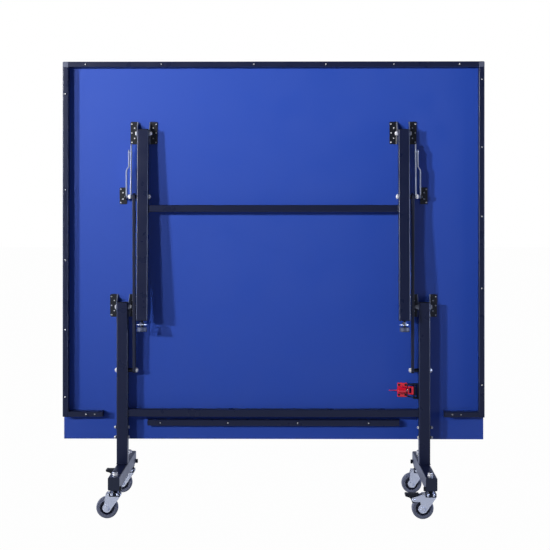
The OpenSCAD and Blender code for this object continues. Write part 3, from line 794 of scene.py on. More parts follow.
@dataclass
class HingePlates:
    """The stamped L plates that carry the two main pivots, with their bolts and screws."""

    plate: float = 3.0
    gap: float = 0.3
    flange: float = 26.0
    low_reach: float = 38.0
    high_reach: float = 44.0
    ear: float = 14.0
    ear_root: float = -3.0
    flange_corner: float = 4.0
    head_depth: float = 5.0
    nut_depth: float = 10.9
    body: str = "tabletop"

    def build(self) -> None:
        """Makes the plates at the legs and at the posts, and what fastens them."""
        for name, node, tube, joint in (
                ("leg_hinge_plates", "upper_hinge_plates", "upper_leg_right", "leg_fold"),
                ("post_hinge_plates", "lower_hinge_plates", "post_right", "table_fold")):
            low, high = box_mm(tube, leg_tilt())
            _, board = box_mm(node)
            shape = Shape()
            self._plate(shape, low.x - self.gap, -1, board.y, pivot_mm(joint).z)
            self._plate(shape, high.x + self.gap, 1, board.y, pivot_mm(joint).z)
            shape.mirror()
            shape.piece(name, self.body, [BLACK_POWDER_COAT, PAINTED_EDGE_HIGHLIGHT], "black_steel", node)
        # Screw heads with painted glints on their crowns and painted shade on their rims.
        shape = PAN_SCREW.draw_all("bracket_screws", 1)
        shape.piece("hinge_screw_heads", self.body, [BLACK_ZINC_AND_PAINTED_SHADE, ZINC_WITH_PAINTED_HIGHLIGHT], "zinc", "bracket_screws")
        self._bolts()

    def _plate(self, shape: Shape, face: float, way: int, board: float, pivot: float) -> None:
        """Adds one L plate.

        Args:
            shape: what it is added to.
            face: where its ear faces the tube, along X.
            way: 1 if its flange runs towards +X, -1 if towards -X.
            board: the face it is screwed to, along Y.
            pivot: the height of its pivot.
        """
        half = math.degrees(math.acos(self.ear_root / self.ear))
        outline = [(board, -self.low_reach), (board - self.plate, -self.low_reach)]
        outline += arc((0, 0), self.ear, 360 - half, half, 16)
        outline += [(board - self.plate, self.high_reach), (board, self.high_reach)]
        inner = face if way > 0 else face - self.plate
        before = len(shape.mesh.faces)
        shape.plate(outline, self.plate, Plane.SIDE, (inner, 0, pivot))
        # Painted highlight: the ear plate's faces that look to the front take the pale second finish.
        shape.recoat(before, Facing.FRONT, 1)
        r = self.flange_corner
        end = face + way * (self.plate + self.flange)
        corners = [(face, -self.low_reach), (end, -self.low_reach, r), (end, self.high_reach, r),
                   (face, self.high_reach)]
        shape.plate(corners, self.plate, Plane.FRONT, (0, board, pivot))
        bend = face + way * self.plate
        shape.plate([(bend, board - self.plate), (bend + way * 2, board - self.plate),
                     (bend + way * 0.6, board - self.plate - 0.6), (bend, board - self.plate - 2)],
                    self.low_reach + self.high_reach, Plane.FLOOR, (0, 0, pivot - self.low_reach), ease=0)

    def _bolts(self) -> None:
        """Makes the pivot bolts with their heads outside and lock nuts inside."""
        shape = Shape()
        for low, high in solids_mm("pivot_bolts"):
            side = 1 if low.x > 0 else -1
            middle = centre_mm((low, high)).z
            head = (high.x if side > 0 else low.x) - side * self.head_depth
            tip = low.x if side > 0 else high.x
            out, inn = (Facing.RIGHT, Facing.LEFT) if side > 0 else (Facing.LEFT, Facing.RIGHT)
            M8_BOLT.draw_head(shape, (head, 0, middle), out)
            M8_BOLT.draw_nut(shape, (tip + side * self.nut_depth, 0, middle), inn)
            M8_BOLT.draw_shank(shape, abs(head - tip) - self.nut_depth, (head, 0, middle), inn)
        shape.piece("pivot_bolt_set", self.body, [ZINC_WITH_PAINTED_HIGHLIGHT], "zinc", "pivot_bolts", "pivot_nuts")


@dataclass
class StayBrackets:
    """The L brackets on the board that carry the knee stays."""

    plate: float = 3.0
    ear: float = 11.0
    low_reach: float = 27.0
    high_reach: float = 34.0
    pin_reach: float = 4.9
    body: str = "tabletop"

    def build(self) -> None:
        """Makes both brackets with their rivets."""
        _, high = box_mm("stay_brackets")
        pivot = pivot_mm("board_stay_right_swing")
        inner = box_mm("board_stay_right")[1].x + 0.3
        shape = Shape()
        outline = [(high.y, -self.ear), (high.y, self.ear)] + arc((0, 0), self.ear, 90, 270, 14)
        shape.plate(outline, self.plate, Plane.SIDE, (inner, 0, pivot.z))
        corners = [(inner, -self.low_reach, 3), (high.x, -self.low_reach, 4),
                   (high.x, self.high_reach, 4), (inner, self.high_reach, 3)]
        shape.plate(corners, self.plate, Plane.FRONT, (0, high.y, pivot.z))
        Rivet().draw(shape, (inner + self.plate, 0, pivot.z), Facing.RIGHT, coat=1)
        tail = inner - self.pin_reach
        shape.rod(PIN_RADIUS, self.plate + self.pin_reach + 0.1, (tail, 0, pivot.z), Facing.RIGHT, coat=1)
        Rivet(height=1.5).draw(shape, (tail, 0, pivot.z), Facing.LEFT, coat=1)
        shape.mirror()
        shape.piece("knee_stay_brackets", self.body, [BLACK_POWDER_COAT, ZINC_PLATE_AND_GLINT_PAINT], "black_steel",
                    "stay_brackets")


# ---- Storage latch ----


@dataclass
class StorageLatch:
    """The sprung bolt that holds the folded table on its right-hand post, and its keeper."""

    base: float = 3.0
    base_corner: float = 4.0
    barrel: float = 11.0
    bore: float = 8.6
    rod: float = 6.0
    tongue: float = 21.0
    tongue_window: float = 9.0
    wire: float = 29.0
    spring_inset: float = 20.0
    window_half: float = 7.6
    keeper: float = 3.0

    def build(self) -> None:
        """Makes the housing, the sliding bolt with its spring, the screws and the keeper."""
        low, high = box_mm("latch_housing")
        bolt_low, bolt_high = box_mm("latch_bolt")
        self._housing(low, high)
        self._bolt(high, bolt_low, bolt_high)
        shape = PAN_SCREW.draw_all("latch_screws")
        shape.piece("latch_screw_heads", "tabletop", [BLACK_PLASTIC], "black_steel", "latch_screws")
        self._keeper()

    @staticmethod
    def _axis() -> Vector:
        """A point on the sliding bolt's centre line."""
        middle = centre_mm(box_mm("latch_bolt"))
        return Vector((0, middle.y, middle.z))

    def _housing(self, low: Vector, high: Vector) -> None:
        """Makes the red housing: a base plate, a saddle and a barrel open at the keeper's end."""
        shape = Shape()
        r = self.base_corner
        shape.plate([(low.x, low.z, r), (high.x, low.z, r), (high.x, high.z, r), (low.x, high.z, r)],
                    self.base, Plane.FRONT, (0, high.y, 0), ease=0.8)
        start, end = low.x + 2, high.x - 4
        floor = high.y - self.base
        axis = self._axis()
        middle = axis.z
        for sign in (-1, 1):
            web = sorted((middle + sign * self.barrel, middle + sign * self.bore))
            shape.block((start, axis.y, web[0]), (end, floor + 0.2, web[1]), ease=0.6)
            root, tip = middle + sign * (self.barrel - 0.2), middle + sign * (self.barrel + 6)
            shape.plate([(floor, root), (floor - 9, root), (floor, tip)], 2.4, Plane.SIDE,
                        ((start + end) / 2 - 1.2, 0, 0), ease=0.3)
        shape.block((start, axis.y, middle - self.bore - 0.1),
                    (start + 4, floor + 0.2, middle + self.bore + 0.1), ease=0.4)
        shape.turned([(6.05, 0), (self.barrel - 1.2, 0), (self.barrel, 1.2),
                      (self.barrel, end - start - 1), (self.barrel - 1, end - start),
                      (self.bore, end - start), (self.bore, 4), (6.05, 4)],
                     (start, axis.y, middle), Facing.RIGHT, 40)
        shape.piece("latch_body_moulding", "tabletop", [RED_ACETAL], "red_latch", "latch_housing")

    def _bolt(self, housing: Vector, low: Vector, high: Vector) -> None:
        """Makes the sliding bolt: rod, pull wire with its bead, and the windowed tongue."""
        axis = self._axis()
        y, z = axis.y, axis.z
        shape = Shape()
        root = high.x - self.tongue
        half = (high.z - low.z) / 2
        front, back = low.y, high.y
        shape.rod(self.rod - 0.05, root - low.x - self.wire, (low.x + self.wire, y, z), Facing.RIGHT)
        for inner, outer in ((self.tongue_window, half), (-half, -self.tongue_window)):
            shape.block((root, front, z + inner), (high.x - 2, back, z + outer), 2.5, Axis.X, 0.8)
        shape.block((high.x - 8, front, z - half), (high.x, back, z + half), 3.4, Axis.Y, 1.2)
        shape.block((root, front, z - half), (root + 4, back, z + half), 1.5, Axis.Y, 0.8)
        shape.rod(2.6, 4.0, (low.x, y, z), Facing.RIGHT, 1.0, 16)
        shape.rod(1.5, self.wire - 2, (low.x + 3, y, z), Facing.RIGHT, 0.3, 12)
        shape.piece("latch_bolt_moulding", "latch", [RED_ACETAL], "red_latch", "latch_bolt")
        spring = Shape()
        start = housing.x - self.spring_inset
        spring.coil(7.2, 1.3, root - start, 6, (start, y, z), Facing.RIGHT)
        spring.piece("latch_spring", "latch", [SPRING_WIRE], "zinc")

    def _keeper(self) -> None:
        """Makes the keeper on the post: a windowed strike plate between two flared guide arms."""
        low, high = box_mm("latch_keeper")
        tongue_low, tongue_high = box_mm("latch_bolt")
        axis = self._axis()
        z = axis.z
        arm = (tongue_high.z - tongue_low.z) / 2 + 5
        strike = tongue_high.x + 2
        depth = high.y - low.y
        t = self.keeper
        shape = Shape()
        shape.plate([(low.x, arm), (strike, arm + 2), (high.x, arm + 2), (high.x, arm + 5),
                     (strike, arm + 5), (low.x, arm + 3)], depth, Plane.FRONT, (0, high.y, z))
        shape.plate([(low.x, -arm - 3), (strike, -arm - 8), (high.x, -arm - 11), (high.x, -arm - 8),
                     (strike, -arm - 5), (low.x, -arm)], depth, Plane.FRONT, (0, high.y, z))
        shape.block((high.x - t, low.y, z - arm - 9), (high.x, high.y, z + arm + 3), ease=0.4)
        window = (tongue_high.z - tongue_low.z) / 2 + 0.6
        for foot, top in ((window, arm + 3), (-arm - 6, -window)):
            shape.block((strike, low.y, z + foot), (strike + t, high.y, z + top), ease=0.4)
        for front, back in ((low.y, axis.y - self.window_half), (axis.y + self.window_half, high.y)):
            shape.block((strike, front, z - window - 0.1), (strike + t, back, z + window + 0.1))
        shape.piece("latch_keeper_plates", "trolley", [BLACK_POWDER_COAT], "black_steel", "latch_keeper")


# ---- Folding legs ----


@dataclass
class FoldingLegs:
    """The two legs that carry the end of the table in play, with their caps, bolts and feet."""

    wall: float = 1.5
    corner: float = 3.5
    cap: float = 2.0
    pad_height: float = 17.0
    disc: float = 18.0
    disc_rise: float = 7.0
    disc_thickness: float = 2.5
    jam_nut: float = 17.0
    jam_nut_height: float = 6.9
    teeth: int = 12
    body: str = "folding_legs"

    def build(self) -> None:
        """Makes the legs, their cross tube, caps and inserts, and the levelling feet."""
        tilt = leg_tilt()
        for side in ("left", "right"):
            shape = Shape()
            shape.tube(*box_mm(f"upper_leg_{side}", tilt), Axis.Z, self.wall, self.corner)
            shape.lean(tilt)
            shape.piece(f"leg_tube_{side}", self.body, [NAVY_POWDER_COAT], "dark_steel",
                        f"upper_leg_{side}")
        shape = cross_tube("leg_cross_tube", self.wall, tilt)
        shape.piece("leg_brace_tube", self.body, [NAVY_POWDER_COAT], "dark_steel", "leg_cross_tube")
        for node, name, end in (("leg_top_caps", "leg_cap_mouldings", Facing.UP),
                                ("leg_foot_inserts", "leg_insert_mouldings", Facing.DOWN)):
            shape = tube_caps(node, tilt, end, self.cap, self.corner)
            shape.piece(name, self.body, [BLACK_PLASTIC], "black_plastic", node)
        self._link_bolts(tilt)
        for side in ("left", "right"):
            self._leveller(side, tilt)

    def _link_bolts(self, tilt: Tilt) -> None:
        """Makes the bolts that join legs, link bars and knee stays, with their blackened sleeves."""
        leg_low, leg_high = box_mm("upper_leg_right", tilt)
        bar_low, bar_high = box_mm("link_bar_right")
        stay_low, stay_high = box_mm("leg_stay_right")
        pin = pivot_mm("leg_stay_right_swing")
        z = tilt.pivot.z - math.hypot(pin.y, tilt.pivot.z - pin.z)
        stay_inner, stay_outer = stay_low.x + KNEE_RIVET, stay_high.x - KNEE_RIVET
        shape = Shape()
        LINK_BOLT.draw_nut(shape, (leg_low.x - 0.1, 0, z), Facing.LEFT)
        LINK_BOLT.draw_nut(shape, (stay_outer + 0.3, 0, z), Facing.RIGHT)
        LINK_BOLT.draw_shank(shape, stay_outer - leg_low.x, (leg_low.x, 0, z), Facing.RIGHT)
        for start, end in ((leg_high.x, bar_low.x - 0.2), (bar_high.x + 0.2, stay_inner - 0.3)):
            LINK_BOLT.draw_sleeve(shape, end - start, (start, 0, z))
        shape.mirror()
        shape.lean(tilt)
        shape.piece("upper_link_bolt_set", self.body, [ZINC_WITH_PAINTED_HIGHLIGHT, BLACK_ZINC_AND_PAINTED_SHADE], "zinc",
                    "upper_link_bolts")

    def _leveller(self, side: str, tilt: Tilt) -> None:
        """Makes one levelling foot: stud, jam nut, notched hand disc, and the moulded pad."""
        low, high = box_mm(f"leveller_{side}", tilt)
        base = Vector(((low.x + high.x) / 2, (low.y + high.y) / 2, low.z))
        core, stud, pitch = 4.3, 5.0, 1.5
        length = high.z - low.z
        top = self.pad_height + self.disc_rise
        profile = [(0, self.pad_height - 1), (core, self.pad_height - 1)]
        for i in range(int((length - self.pad_height - 2) / pitch)):
            foot = self.pad_height + pitch * i
            profile += [(core, foot), (stud, foot + 0.5), (stud, foot + 0.9), (core, foot + 1.4)]
        profile += [(core - 0.5, length), (0, length)]
        # Painted shade: the stud, the disc and the jam nut are drawn in black zinc, dark as the shade under
        # the leg.
        metal = Shape()
        metal.turned(profile, base, Facing.UP, 20, 1)
        rim = []
        for i in range(self.teeth):
            turn = 360 / self.teeth * i
            rim += arc((0, 0), self.disc, turn, turn + 16, 2) + arc((0, 0), self.disc - 1.6, turn + 20,
                                                                    turn + 26, 1)
        before = len(metal.mesh.faces)
        metal.plate(rim, self.disc_thickness, Plane.FLOOR, base + Vector((0, 0, top)), 0.4, 1)
        # Painted glints: the faces of the disc's teeth that look to the front take bright zinc.
        metal.recoat(before, Facing.FRONT, 0)
        metal.hexagon(self.jam_nut, self.jam_nut_height,
                      base + Vector((0, 0, top + self.disc_thickness)), Facing.UP, 1)
        metal.lean(tilt)
        metal.piece(f"leveller_stud_{side}", f"leveller_{side}", [ZINC_PLATE_AND_GLINT_PAINT, BLACK_ZINC_AND_PAINTED_SHADE], "zinc",
                    f"leveller_{side}")
        pad = Shape()
        pad.turned([(0, 0), (14.5, 0), (16.8, 0.8), (18, 2.5), (18, 13.5), (17.2, 15.4), (15.6, 16.6),
                    (15, 17), (6, 17), (5.2, 16), (0, 16)], base, Facing.UP, 48)
        pad.lean(tilt)
        pad.piece(f"leveller_pad_{side}", f"leveller_{side}", [GREY_PLASTIC], "grey_plastic")


def cross_tube(node: str, wall: float, tilt: Tilt = UPRIGHT) -> Shape:
    """Draws a cross tube with the weld beads at its ends, proud of it by 2 mm all round."""
    low, high = box_mm(node, tilt)
    shape = Shape()
    shape.tube(low, high, Axis.X, wall, 3.0)
    for start, end in ((low.x, low.x + 3), (high.x - 3, high.x)):
        shape.bead((start, low.y - 2, low.z - 2), (end, high.y + 2, high.z + 2), Axis.X)
    shape.lean(tilt)
    return shape


def tube_caps(node: str, tilt: Tilt, end: Facing, lip: float, corner: float) -> Shape:
    """Draws the pair of moulded caps on the ends of two square tubes.

    Args:
        node: the CAD node they stand for.
        tilt: how that node stands off the upright.
        end: UP for caps on the tubes' tops, DOWN for caps on their feet.
        lip: the height of a cap's lip.
        corner: the radius of its corners.

    Returns:
        The caps in their place.
    """
    shape = Shape()
    for low, high in solids_mm(node, tilt):
        edge = high.z - lip if end is Facing.UP else low.z
        shape.block((low.x, low.y, edge), (high.x, high.y, edge + lip), corner, Axis.Z, 0.7)
    shape.lean(tilt)
    return shape


# ---- Linkage ----


@dataclass
class Linkage:
    """The link bars that keep the legs upright, and the knee stays that lock them."""

    stay: float = 4.0
    stay_width: float = 16.0
    rivet_head: Rivet = Rivet(5.5, KNEE_RIVET)
    rivet_tail: Rivet = Rivet(4.0, KNEE_RIVET)
    bend_start: float = 95.0
    bend_end: float = 110.0

    def build(self) -> None:
        """Makes the link bar and the knee stay of both sides."""
        for side, sign in (("left", -1), ("right", 1)):
            self._link_bar(side)
            self._leg_stay(side, sign)
            self._board_stay(side, sign)

    def _link_bar(self, side: str) -> None:
        """Makes one link bar, with round ends."""
        joint = f"link_{side}_swing"
        tilt = Tilt(pivot_mm(joint), 90.0 - travel(joint))
        low, high = box_mm(f"link_bar_{side}", tilt)
        outline = round_bar(low.z, high.z, (high.y - low.y) / 2, 14)
        shape = Shape()
        shape.plate(outline, high.x - low.x, Plane.SIDE, (low.x, 0, 0), ease=1.5)
        shape.lean(tilt)
        shape.piece(f"link_flat_bar_{side}", f"link_{side}", [DARK_NAVY_COAT], "black_steel",
                    f"link_bar_{side}")

    def _knee_reach(self) -> float:
        """The distance between the two pins of a knee stay's board half."""
        joint = "board_stay_right_swing"
        _, high = box_mm("board_stay_right", Tilt(pivot_mm(joint), 45.0 - travel(joint)))
        return high.z - self.stay_width / 2 - pivot_mm(joint).z

    def _leg_stay(self, side: str, sign: int) -> None:
        """Makes the half of a knee stay on the leg, which reaches past the knee as its stop."""
        joint = "leg_stay_right_swing"
        pin = pivot_mm(joint)
        tilt = Tilt(pin, leg_tilt().degrees - (45.0 - travel(joint)))
        low, high = box_mm("leg_stay_right", tilt)
        outline = round_bar(low.z, high.z, self.stay_width / 2, 12)
        inner = low.x + KNEE_RIVET
        shape = Shape()
        shape.plate(outline, self.stay, Plane.SIDE, (inner, pin.y, 0), ease=0.6)
        knee = pin.z + self._knee_reach()
        self.rivet_head.draw(shape, (inner, pin.y, knee), Facing.LEFT)
        self.rivet_tail.draw(shape, (inner + self.stay, pin.y, knee), Facing.RIGHT)
        shape.lean(tilt)
        if sign < 0:
            shape.flip()
        shape.piece(f"knee_stay_lower_{side}", f"leg_stay_{side}", [STAY_PAINTED_HIGHLIGHT_ZINC],
                    "zinc", f"leg_stay_{side}")

    def _board_stay(self, side: str, sign: int) -> None:
        """Makes the half of a knee stay on the board, joggled clear of the leg's half."""
        joint = "board_stay_right_swing"
        foot = pivot_mm(joint).z
        tilt = Tilt(pivot_mm(joint), 45.0 - travel(joint))
        low, high = box_mm("board_stay_right", tilt)
        radius = self.stay_width / 2
        x0, x1 = low.x + KNEE_RIVET, high.x - self.stay
        knee = high.z - radius
        bend_low, bend_high = foot + self.bend_start, foot + self.bend_end
        t = self.stay
        shape = Shape()
        shape.plate([(x0, knee), (x0, bend_high), (x1, bend_low), (x1, foot), (x1 + t, foot),
                     (x1 + t, bend_low), (x0 + t, bend_high), (x0 + t, knee)], self.stay_width,
                    Plane.FRONT, (0, radius, 0), ease=0.5)
        shape.rod(radius, t, (x0, 0, knee), Facing.RIGHT)
        shape.rod(radius, t, (x1, 0, foot), Facing.RIGHT)
        self.rivet_tail.draw(shape, (x0, 0, knee), Facing.LEFT, coat=1)
        self.rivet_head.draw(shape, (x0 + t, 0, knee), Facing.RIGHT, coat=1)
        shape.lean(tilt)
        if sign < 0:
            shape.flip()
        shape.piece(f"knee_stay_upper_{side}", f"board_stay_{side}", [STAY_PAINTED_HIGHLIGHT_ZINC, ZINC_PLATE_AND_GLINT_PAINT],
                    "zinc", f"board_stay_{side}")


# ---- Trolley ----


@dataclass
class Trolley:
    """The standing frame: posts on foot beams, joined by a low cross tube."""

    wall: float = 1.5
    corner: float = 3.5
    cap: float = 2.0
    lug: float = 7.0
    lug_height: float = 14.0
    foot_sleeve: float = 4.4
    body: str = "trolley"

    def build(self) -> None:
        """Makes the tubes, caps and fasteners of the trolley."""
        for side in ("left", "right"):
            low, high = box_mm(f"post_{side}")
            shape = Shape()
            shape.tube(low, high, Axis.Z, self.wall, self.corner)
            shape.bead((low.x - 1.5, low.y - 1.8, low.z), (high.x + 1.5, high.y + 1.8, low.z + 3), Axis.Z)
            shape.piece(f"post_tube_{side}", self.body, [NAVY_POWDER_COAT], "dark_steel", f"post_{side}")
            shape = Shape()
            shape.tube(*box_mm(f"foot_beam_{side}"), Axis.Y, 2.0, 4.0)
            shape.piece(f"foot_beam_tube_{side}", self.body, [NAVY_POWDER_COAT], "dark_steel",
                        f"foot_beam_{side}")
        shape = cross_tube("lower_cross_tube", self.wall)
        shape.piece("post_brace_tube", self.body, [NAVY_POWDER_COAT], "dark_steel", "lower_cross_tube")
        shape = tube_caps("post_caps", UPRIGHT, Facing.UP, self.cap, self.corner)
        shape.piece("post_cap_mouldings", self.body, [BLACK_PLASTIC], "black_plastic", "post_caps")
        frame["nodes"]["post_spigots"].data.materials.clear()
        frame["nodes"]["post_spigots"].data.materials.append(NAVY_POWDER_COAT.material())
        self._end_caps()
        self._bolts()

    def _end_caps(self) -> None:
        """Makes the caps that close the foot beams, each with a lug at its lower inner corner."""
        low, high = box_mm("foot_beam_right")
        _, cap_high = box_mm("beam_end_caps")
        shape = Shape()
        shape.block((low.x, high.y, low.z), (high.x, cap_high.y, high.z), 4.0, Axis.Y, 0.9)
        shape.block((low.x - self.lug, high.y - 9, low.z), (low.x, cap_high.y, low.z + self.lug_height),
                    ease=1.2, coat=1)
        shape.mirror(Axis.Y)
        shape.mirror()
        shape.piece("beam_cap_mouldings", self.body, [NAVY_PLASTIC, BLACK_PLASTIC], "black_plastic",
                    "beam_end_caps")

    def _bolts(self) -> None:
        """Makes the bolts through the posts: the link bars' lower ones and the foot bolts."""
        post_low, post_high = box_mm("post_right")
        bar_low, bar_high = box_mm("link_bar_right")
        z = pivot_mm("link_right_swing").z
        shape = Shape()
        shape.turned([(0, 0), (9.5, 0), (9.5, 1.6), (8.8, 3.6), (7.2, 6.2), (4.8, 8.2), (2.4, 9.0),
                      (0, 9.2)], (post_high.x, 0, z), Facing.RIGHT, 32)
        LINK_BOLT.draw_nut(shape, (bar_low.x - 0.3, 0, z), Facing.LEFT)
        LINK_BOLT.draw_shank(shape, post_high.x - bar_low.x, (bar_low.x, 0, z), Facing.RIGHT)
        LINK_BOLT.draw_sleeve(shape, post_low.x - bar_high.x - 0.3, (bar_high.x + 0.2, 0, z))
        shape.mirror()
        shape.piece("lower_link_bolt_set", self.body, [ZINC_WITH_PAINTED_HIGHLIGHT, BLACK_ZINC_AND_PAINTED_SHADE], "zinc",
                    "lower_link_bolts")
        shape = Shape()
        for low, high in solids_mm("foot_bolts"):
            if high.x - low.x < post_high.x - post_low.x or low.x < 0:
                continue
            middle = centre_mm((low, high)).z
            M6_BOLT.draw_head(shape, (post_low.x, 0, middle), Facing.LEFT)
            M6_BOLT.draw_sleeve(shape, self.foot_sleeve, (post_high.x + 0.1, 0, middle))
            M6_BOLT.draw_nut(shape, (post_high.x + self.foot_sleeve + 0.1, 0, middle), Facing.RIGHT)
            M6_BOLT.draw_shank(shape, high.x - post_low.x - 2, (post_low.x, 0, middle), Facing.RIGHT)
        shape.mirror()
        shape.piece("foot_bolt_set", self.body, [ZINC_WITH_PAINTED_HIGHLIGHT, BLACK_PLASTIC], "zinc", "foot_bolts")


# ---- Casters ----


@dataclass
class Caster:
    """One swivel caster: pressed fork, wheel, and on two of them a brake pedal."""

    name: str
    braked: bool
    lobe: float = 15.0
    plate: float = 3.0
    crown_drop: float = 18.0
    neck: float = 8.0
    rim: float = 25.0
    tyre_shoulder: float = 5.0
    shoe_gap: float = 1.0
    ribs: int = 7
    rib_pitch: float = 5.5
    cheek: float = 16.5
    guard: float = 19.0
    guard_drop: float = 8.0
    guard_depth: float = 2.0
    boss: float = 10.0

    def build(self) -> None:
        """Makes the fork, the wheel and the brake."""
        self._fork()
        self._wheel()
        if self.braked:
            self._pedal()

    def _crown(self) -> float:
        """The height of the fork's crown, below the foot beam."""
        return box_mm("foot_beam_right")[0].z - self.crown_drop

    def _pivot(self, part: str) -> Vector:
        """The place of this caster's joint: roll, swivel or brake."""
        return pivot_mm(f"{part}_{self.name}")

    def _outline(self) -> list:
        """The fork's side plate: a lobe round the axle below the crown, with the brake's arm."""
        lobe = self.lobe + (1.0 if self.braked else 0.0)
        crown = self._crown()
        hub = self._pivot("roll") - self._pivot("swivel")
        neck = hub.x - self.neck
        rise = math.sqrt(lobe**2 - self.neck**2)
        right = math.degrees(math.atan2(-0.57, 0.82))
        left = math.degrees(math.atan2(rise, -self.neck)) - 360
        outline = [(20, crown, 3), (20, crown - 7, 4)]
        outline += arc((hub.x, hub.z), lobe, right, left, 18)
        if self.braked:
            pin = self._pivot("brake") - self._pivot("swivel")
            outline.append((neck, pin.z - 8.5, 4))
            outline += arc((pin.x, pin.z), 7.5, 270, 90, 10)
            outline.append((-31, crown, 3))
        else:
            outline += [(neck, hub.z + 22, 4), (-31, crown, 3)]
        return outline

    def _fork(self) -> None:
        """Makes the pressed fork with its crown, race and axle bolt."""
        out = self.cheek + self.plate
        crown = self._crown()
        x, y, _ = self._pivot("swivel")
        axle = self._pivot("roll")
        shape = Shape()
        for face in (-self.cheek, out):
            shape.plate(self._outline(), self.plate, Plane.FRONT, (x, y + face, 0), ease=0.6)
        shape.block((x - 30, y - out, crown - 0.5), (x + 20, y + out, crown + 3), 2.0, Axis.X, 0.5)
        # Painted shade: the crown's turned race and the guards take black zinc, dark as the shade under the
        # beam.
        shape.turned([(0, 0), (21, 0), (21, 2), (19.5, 3), (17.6, 8.4), (17, 10.5), (16, 12.2),
                      (0, 12.2)], (x, y, crown - 0.5), Facing.UP, 40, 1)
        for end in (-1, 1):
            face = y + end * out
            front, back = sorted((face - end * 0.5, face + end * self.guard_depth))
            shape.block((x - self.guard, front, crown - self.guard_drop),
                        (x + self.guard, back, crown + self.plate), 2.5, Axis.Y, 0.6, 1)
            for side in (-self.boss, self.boss):
                shape.turned([(0, -4), (2.4, -3.8), (4, -2.6), (4.5, 0), (4.5, 3), (4, 4.6), (2.4, 5.8),
                              (0, 6)], (x + side, face - end * 0.2, crown - 2), Facing.UP, 20)
        AXLE_BOLT.draw_shank(shape, 2 * out + 1, (axle.x, y - out - 0.5, axle.z), Facing.BACK)
        AXLE_BOLT.draw_head(shape, (axle.x, y - out, axle.z), Facing.FRONT)
        AXLE_BOLT.draw_head(shape, (axle.x, y + out, axle.z), Facing.BACK)
        if self.braked:
            pin = self._pivot("brake")
            shape.rod(PIN_RADIUS, 2 * out + 2, (pin.x, y - out - 1, pin.z), Facing.BACK)
            for sign, way in ((-1, Facing.FRONT), (1, Facing.BACK)):
                Rivet(4.5, 1.5).draw(shape, (pin.x, y + sign * out, pin.z), way)
        shape.piece(f"pressed_fork_{self.name}", f"fork_{self.name}", [ZINC_PLATE_AND_GLINT_PAINT, BLACK_ZINC_AND_PAINTED_SHADE], "zinc",
                    f"fork_{self.name}")

    def _wheel(self) -> None:
        """Makes the ribbed nylon centre and the rubber tyre."""
        low, high = box_mm(f"tyre_{self.name}")
        half = (high.y - low.y) / 2
        at = self._pivot("roll")
        at.y = self._pivot("swivel").y
        hub = Shape()
        hub.turned([(4.05, -15.5), (8.4, -15.5), (9, -15), (9.6, -8), (10.6, -6.4), (20.4, -5),
                    (22, -half + 2), (22.6, -half + 0.8), (self.rim, -half + 0.8), (self.rim, half - 0.8),
                    (22.6, half - 0.8), (22, half - 2), (20.4, 5), (10.6, 6.4), (9.6, 8), (9, 15),
                    (8.4, 15.5), (4.05, 15.5)], at, Facing.BACK, 48)
        for i in range(6):
            turn = Matrix.Translation(at) @ Matrix.Rotation(math.tau * i / 6, 4, "Y")
            part = Shape.bar(Vector((9, -half + 2.5, -1.1)), Vector((21.5, half - 2.5, 1.1)), 0.4, Axis.X)
            hub.take(part, turn)
        hub.piece(f"nylon_centre_{self.name}", f"wheel_{self.name}", [DARK_NYLON], "dark_hub",
                  f"hub_{self.name}")
        radius = (high.z - low.z) / 2
        s = self.tyre_shoulder
        front = arc((radius - s, -half + s), s, -90, 0, 6)
        back = arc((radius - s, half - s), s, 0, 90, 6)
        tread = [(radius, -0.5), (radius - 0.3, -0.25), (radius - 0.3, 0.25), (radius, 0.5)]
        tyre = Shape()
        tyre.turned([(self.rim, -half)] + front + tread + back + [(self.rim, half)], at, Facing.BACK, 64)
        tyre.piece(f"rubber_tyre_{self.name}", f"wheel_{self.name}", [GREY_TYRE_RUBBER], "grey_tyre",
                   f"tyre_{self.name}")

    def _pedal(self) -> None:
        """Makes the brake pedal: a cam on its pin and a ribbed tread over the wheel.

        The cam's underside follows the tyre, both as it stands and with the pedal pressed.
        """
        low, high = box_mm(f"brake_pedal_{self.name}")
        tyre_low, tyre_high = box_mm(f"tyre_{self.name}")
        reach = (tyre_high.z - tyre_low.z) / 2 + self.shoe_gap
        pin = self._pivot("brake")
        up = self._pivot("roll") - pin
        down = Matrix.Rotation(math.radians(travel(f"brake_{self.name}")), 3, "Y") @ up
        outline = [(19, 13, 1), (19, 18.4, 1.5)]
        for rib in range(self.ribs):
            x = 15.5 - self.rib_pitch * rib
            outline += [(x, 18.4), (x - 0.6, 17.6), (x - 2.4, 17.6), (x - 3, 18.4)]
        outline += [(-29, 18.4, 3), (-29, 10, 3), (-11, 5, 6), (-4.4, -12.2, 2)]
        outline += arc((down.x, down.z), reach, 138, 122.5, 4)
        outline += arc((up.x, up.z), reach, 136, 131, 2)
        outline.append((8, 6, 3))
        shape = Shape()
        shape.plate(outline, high.y - low.y, Plane.FRONT, (pin.x, high.y, pin.z), ease=0.8)
        shape.piece(f"brake_tread_{self.name}", f"pedal_{self.name}", [BLACK_PLASTIC], "black_plastic",
                    f"brake_pedal_{self.name}")


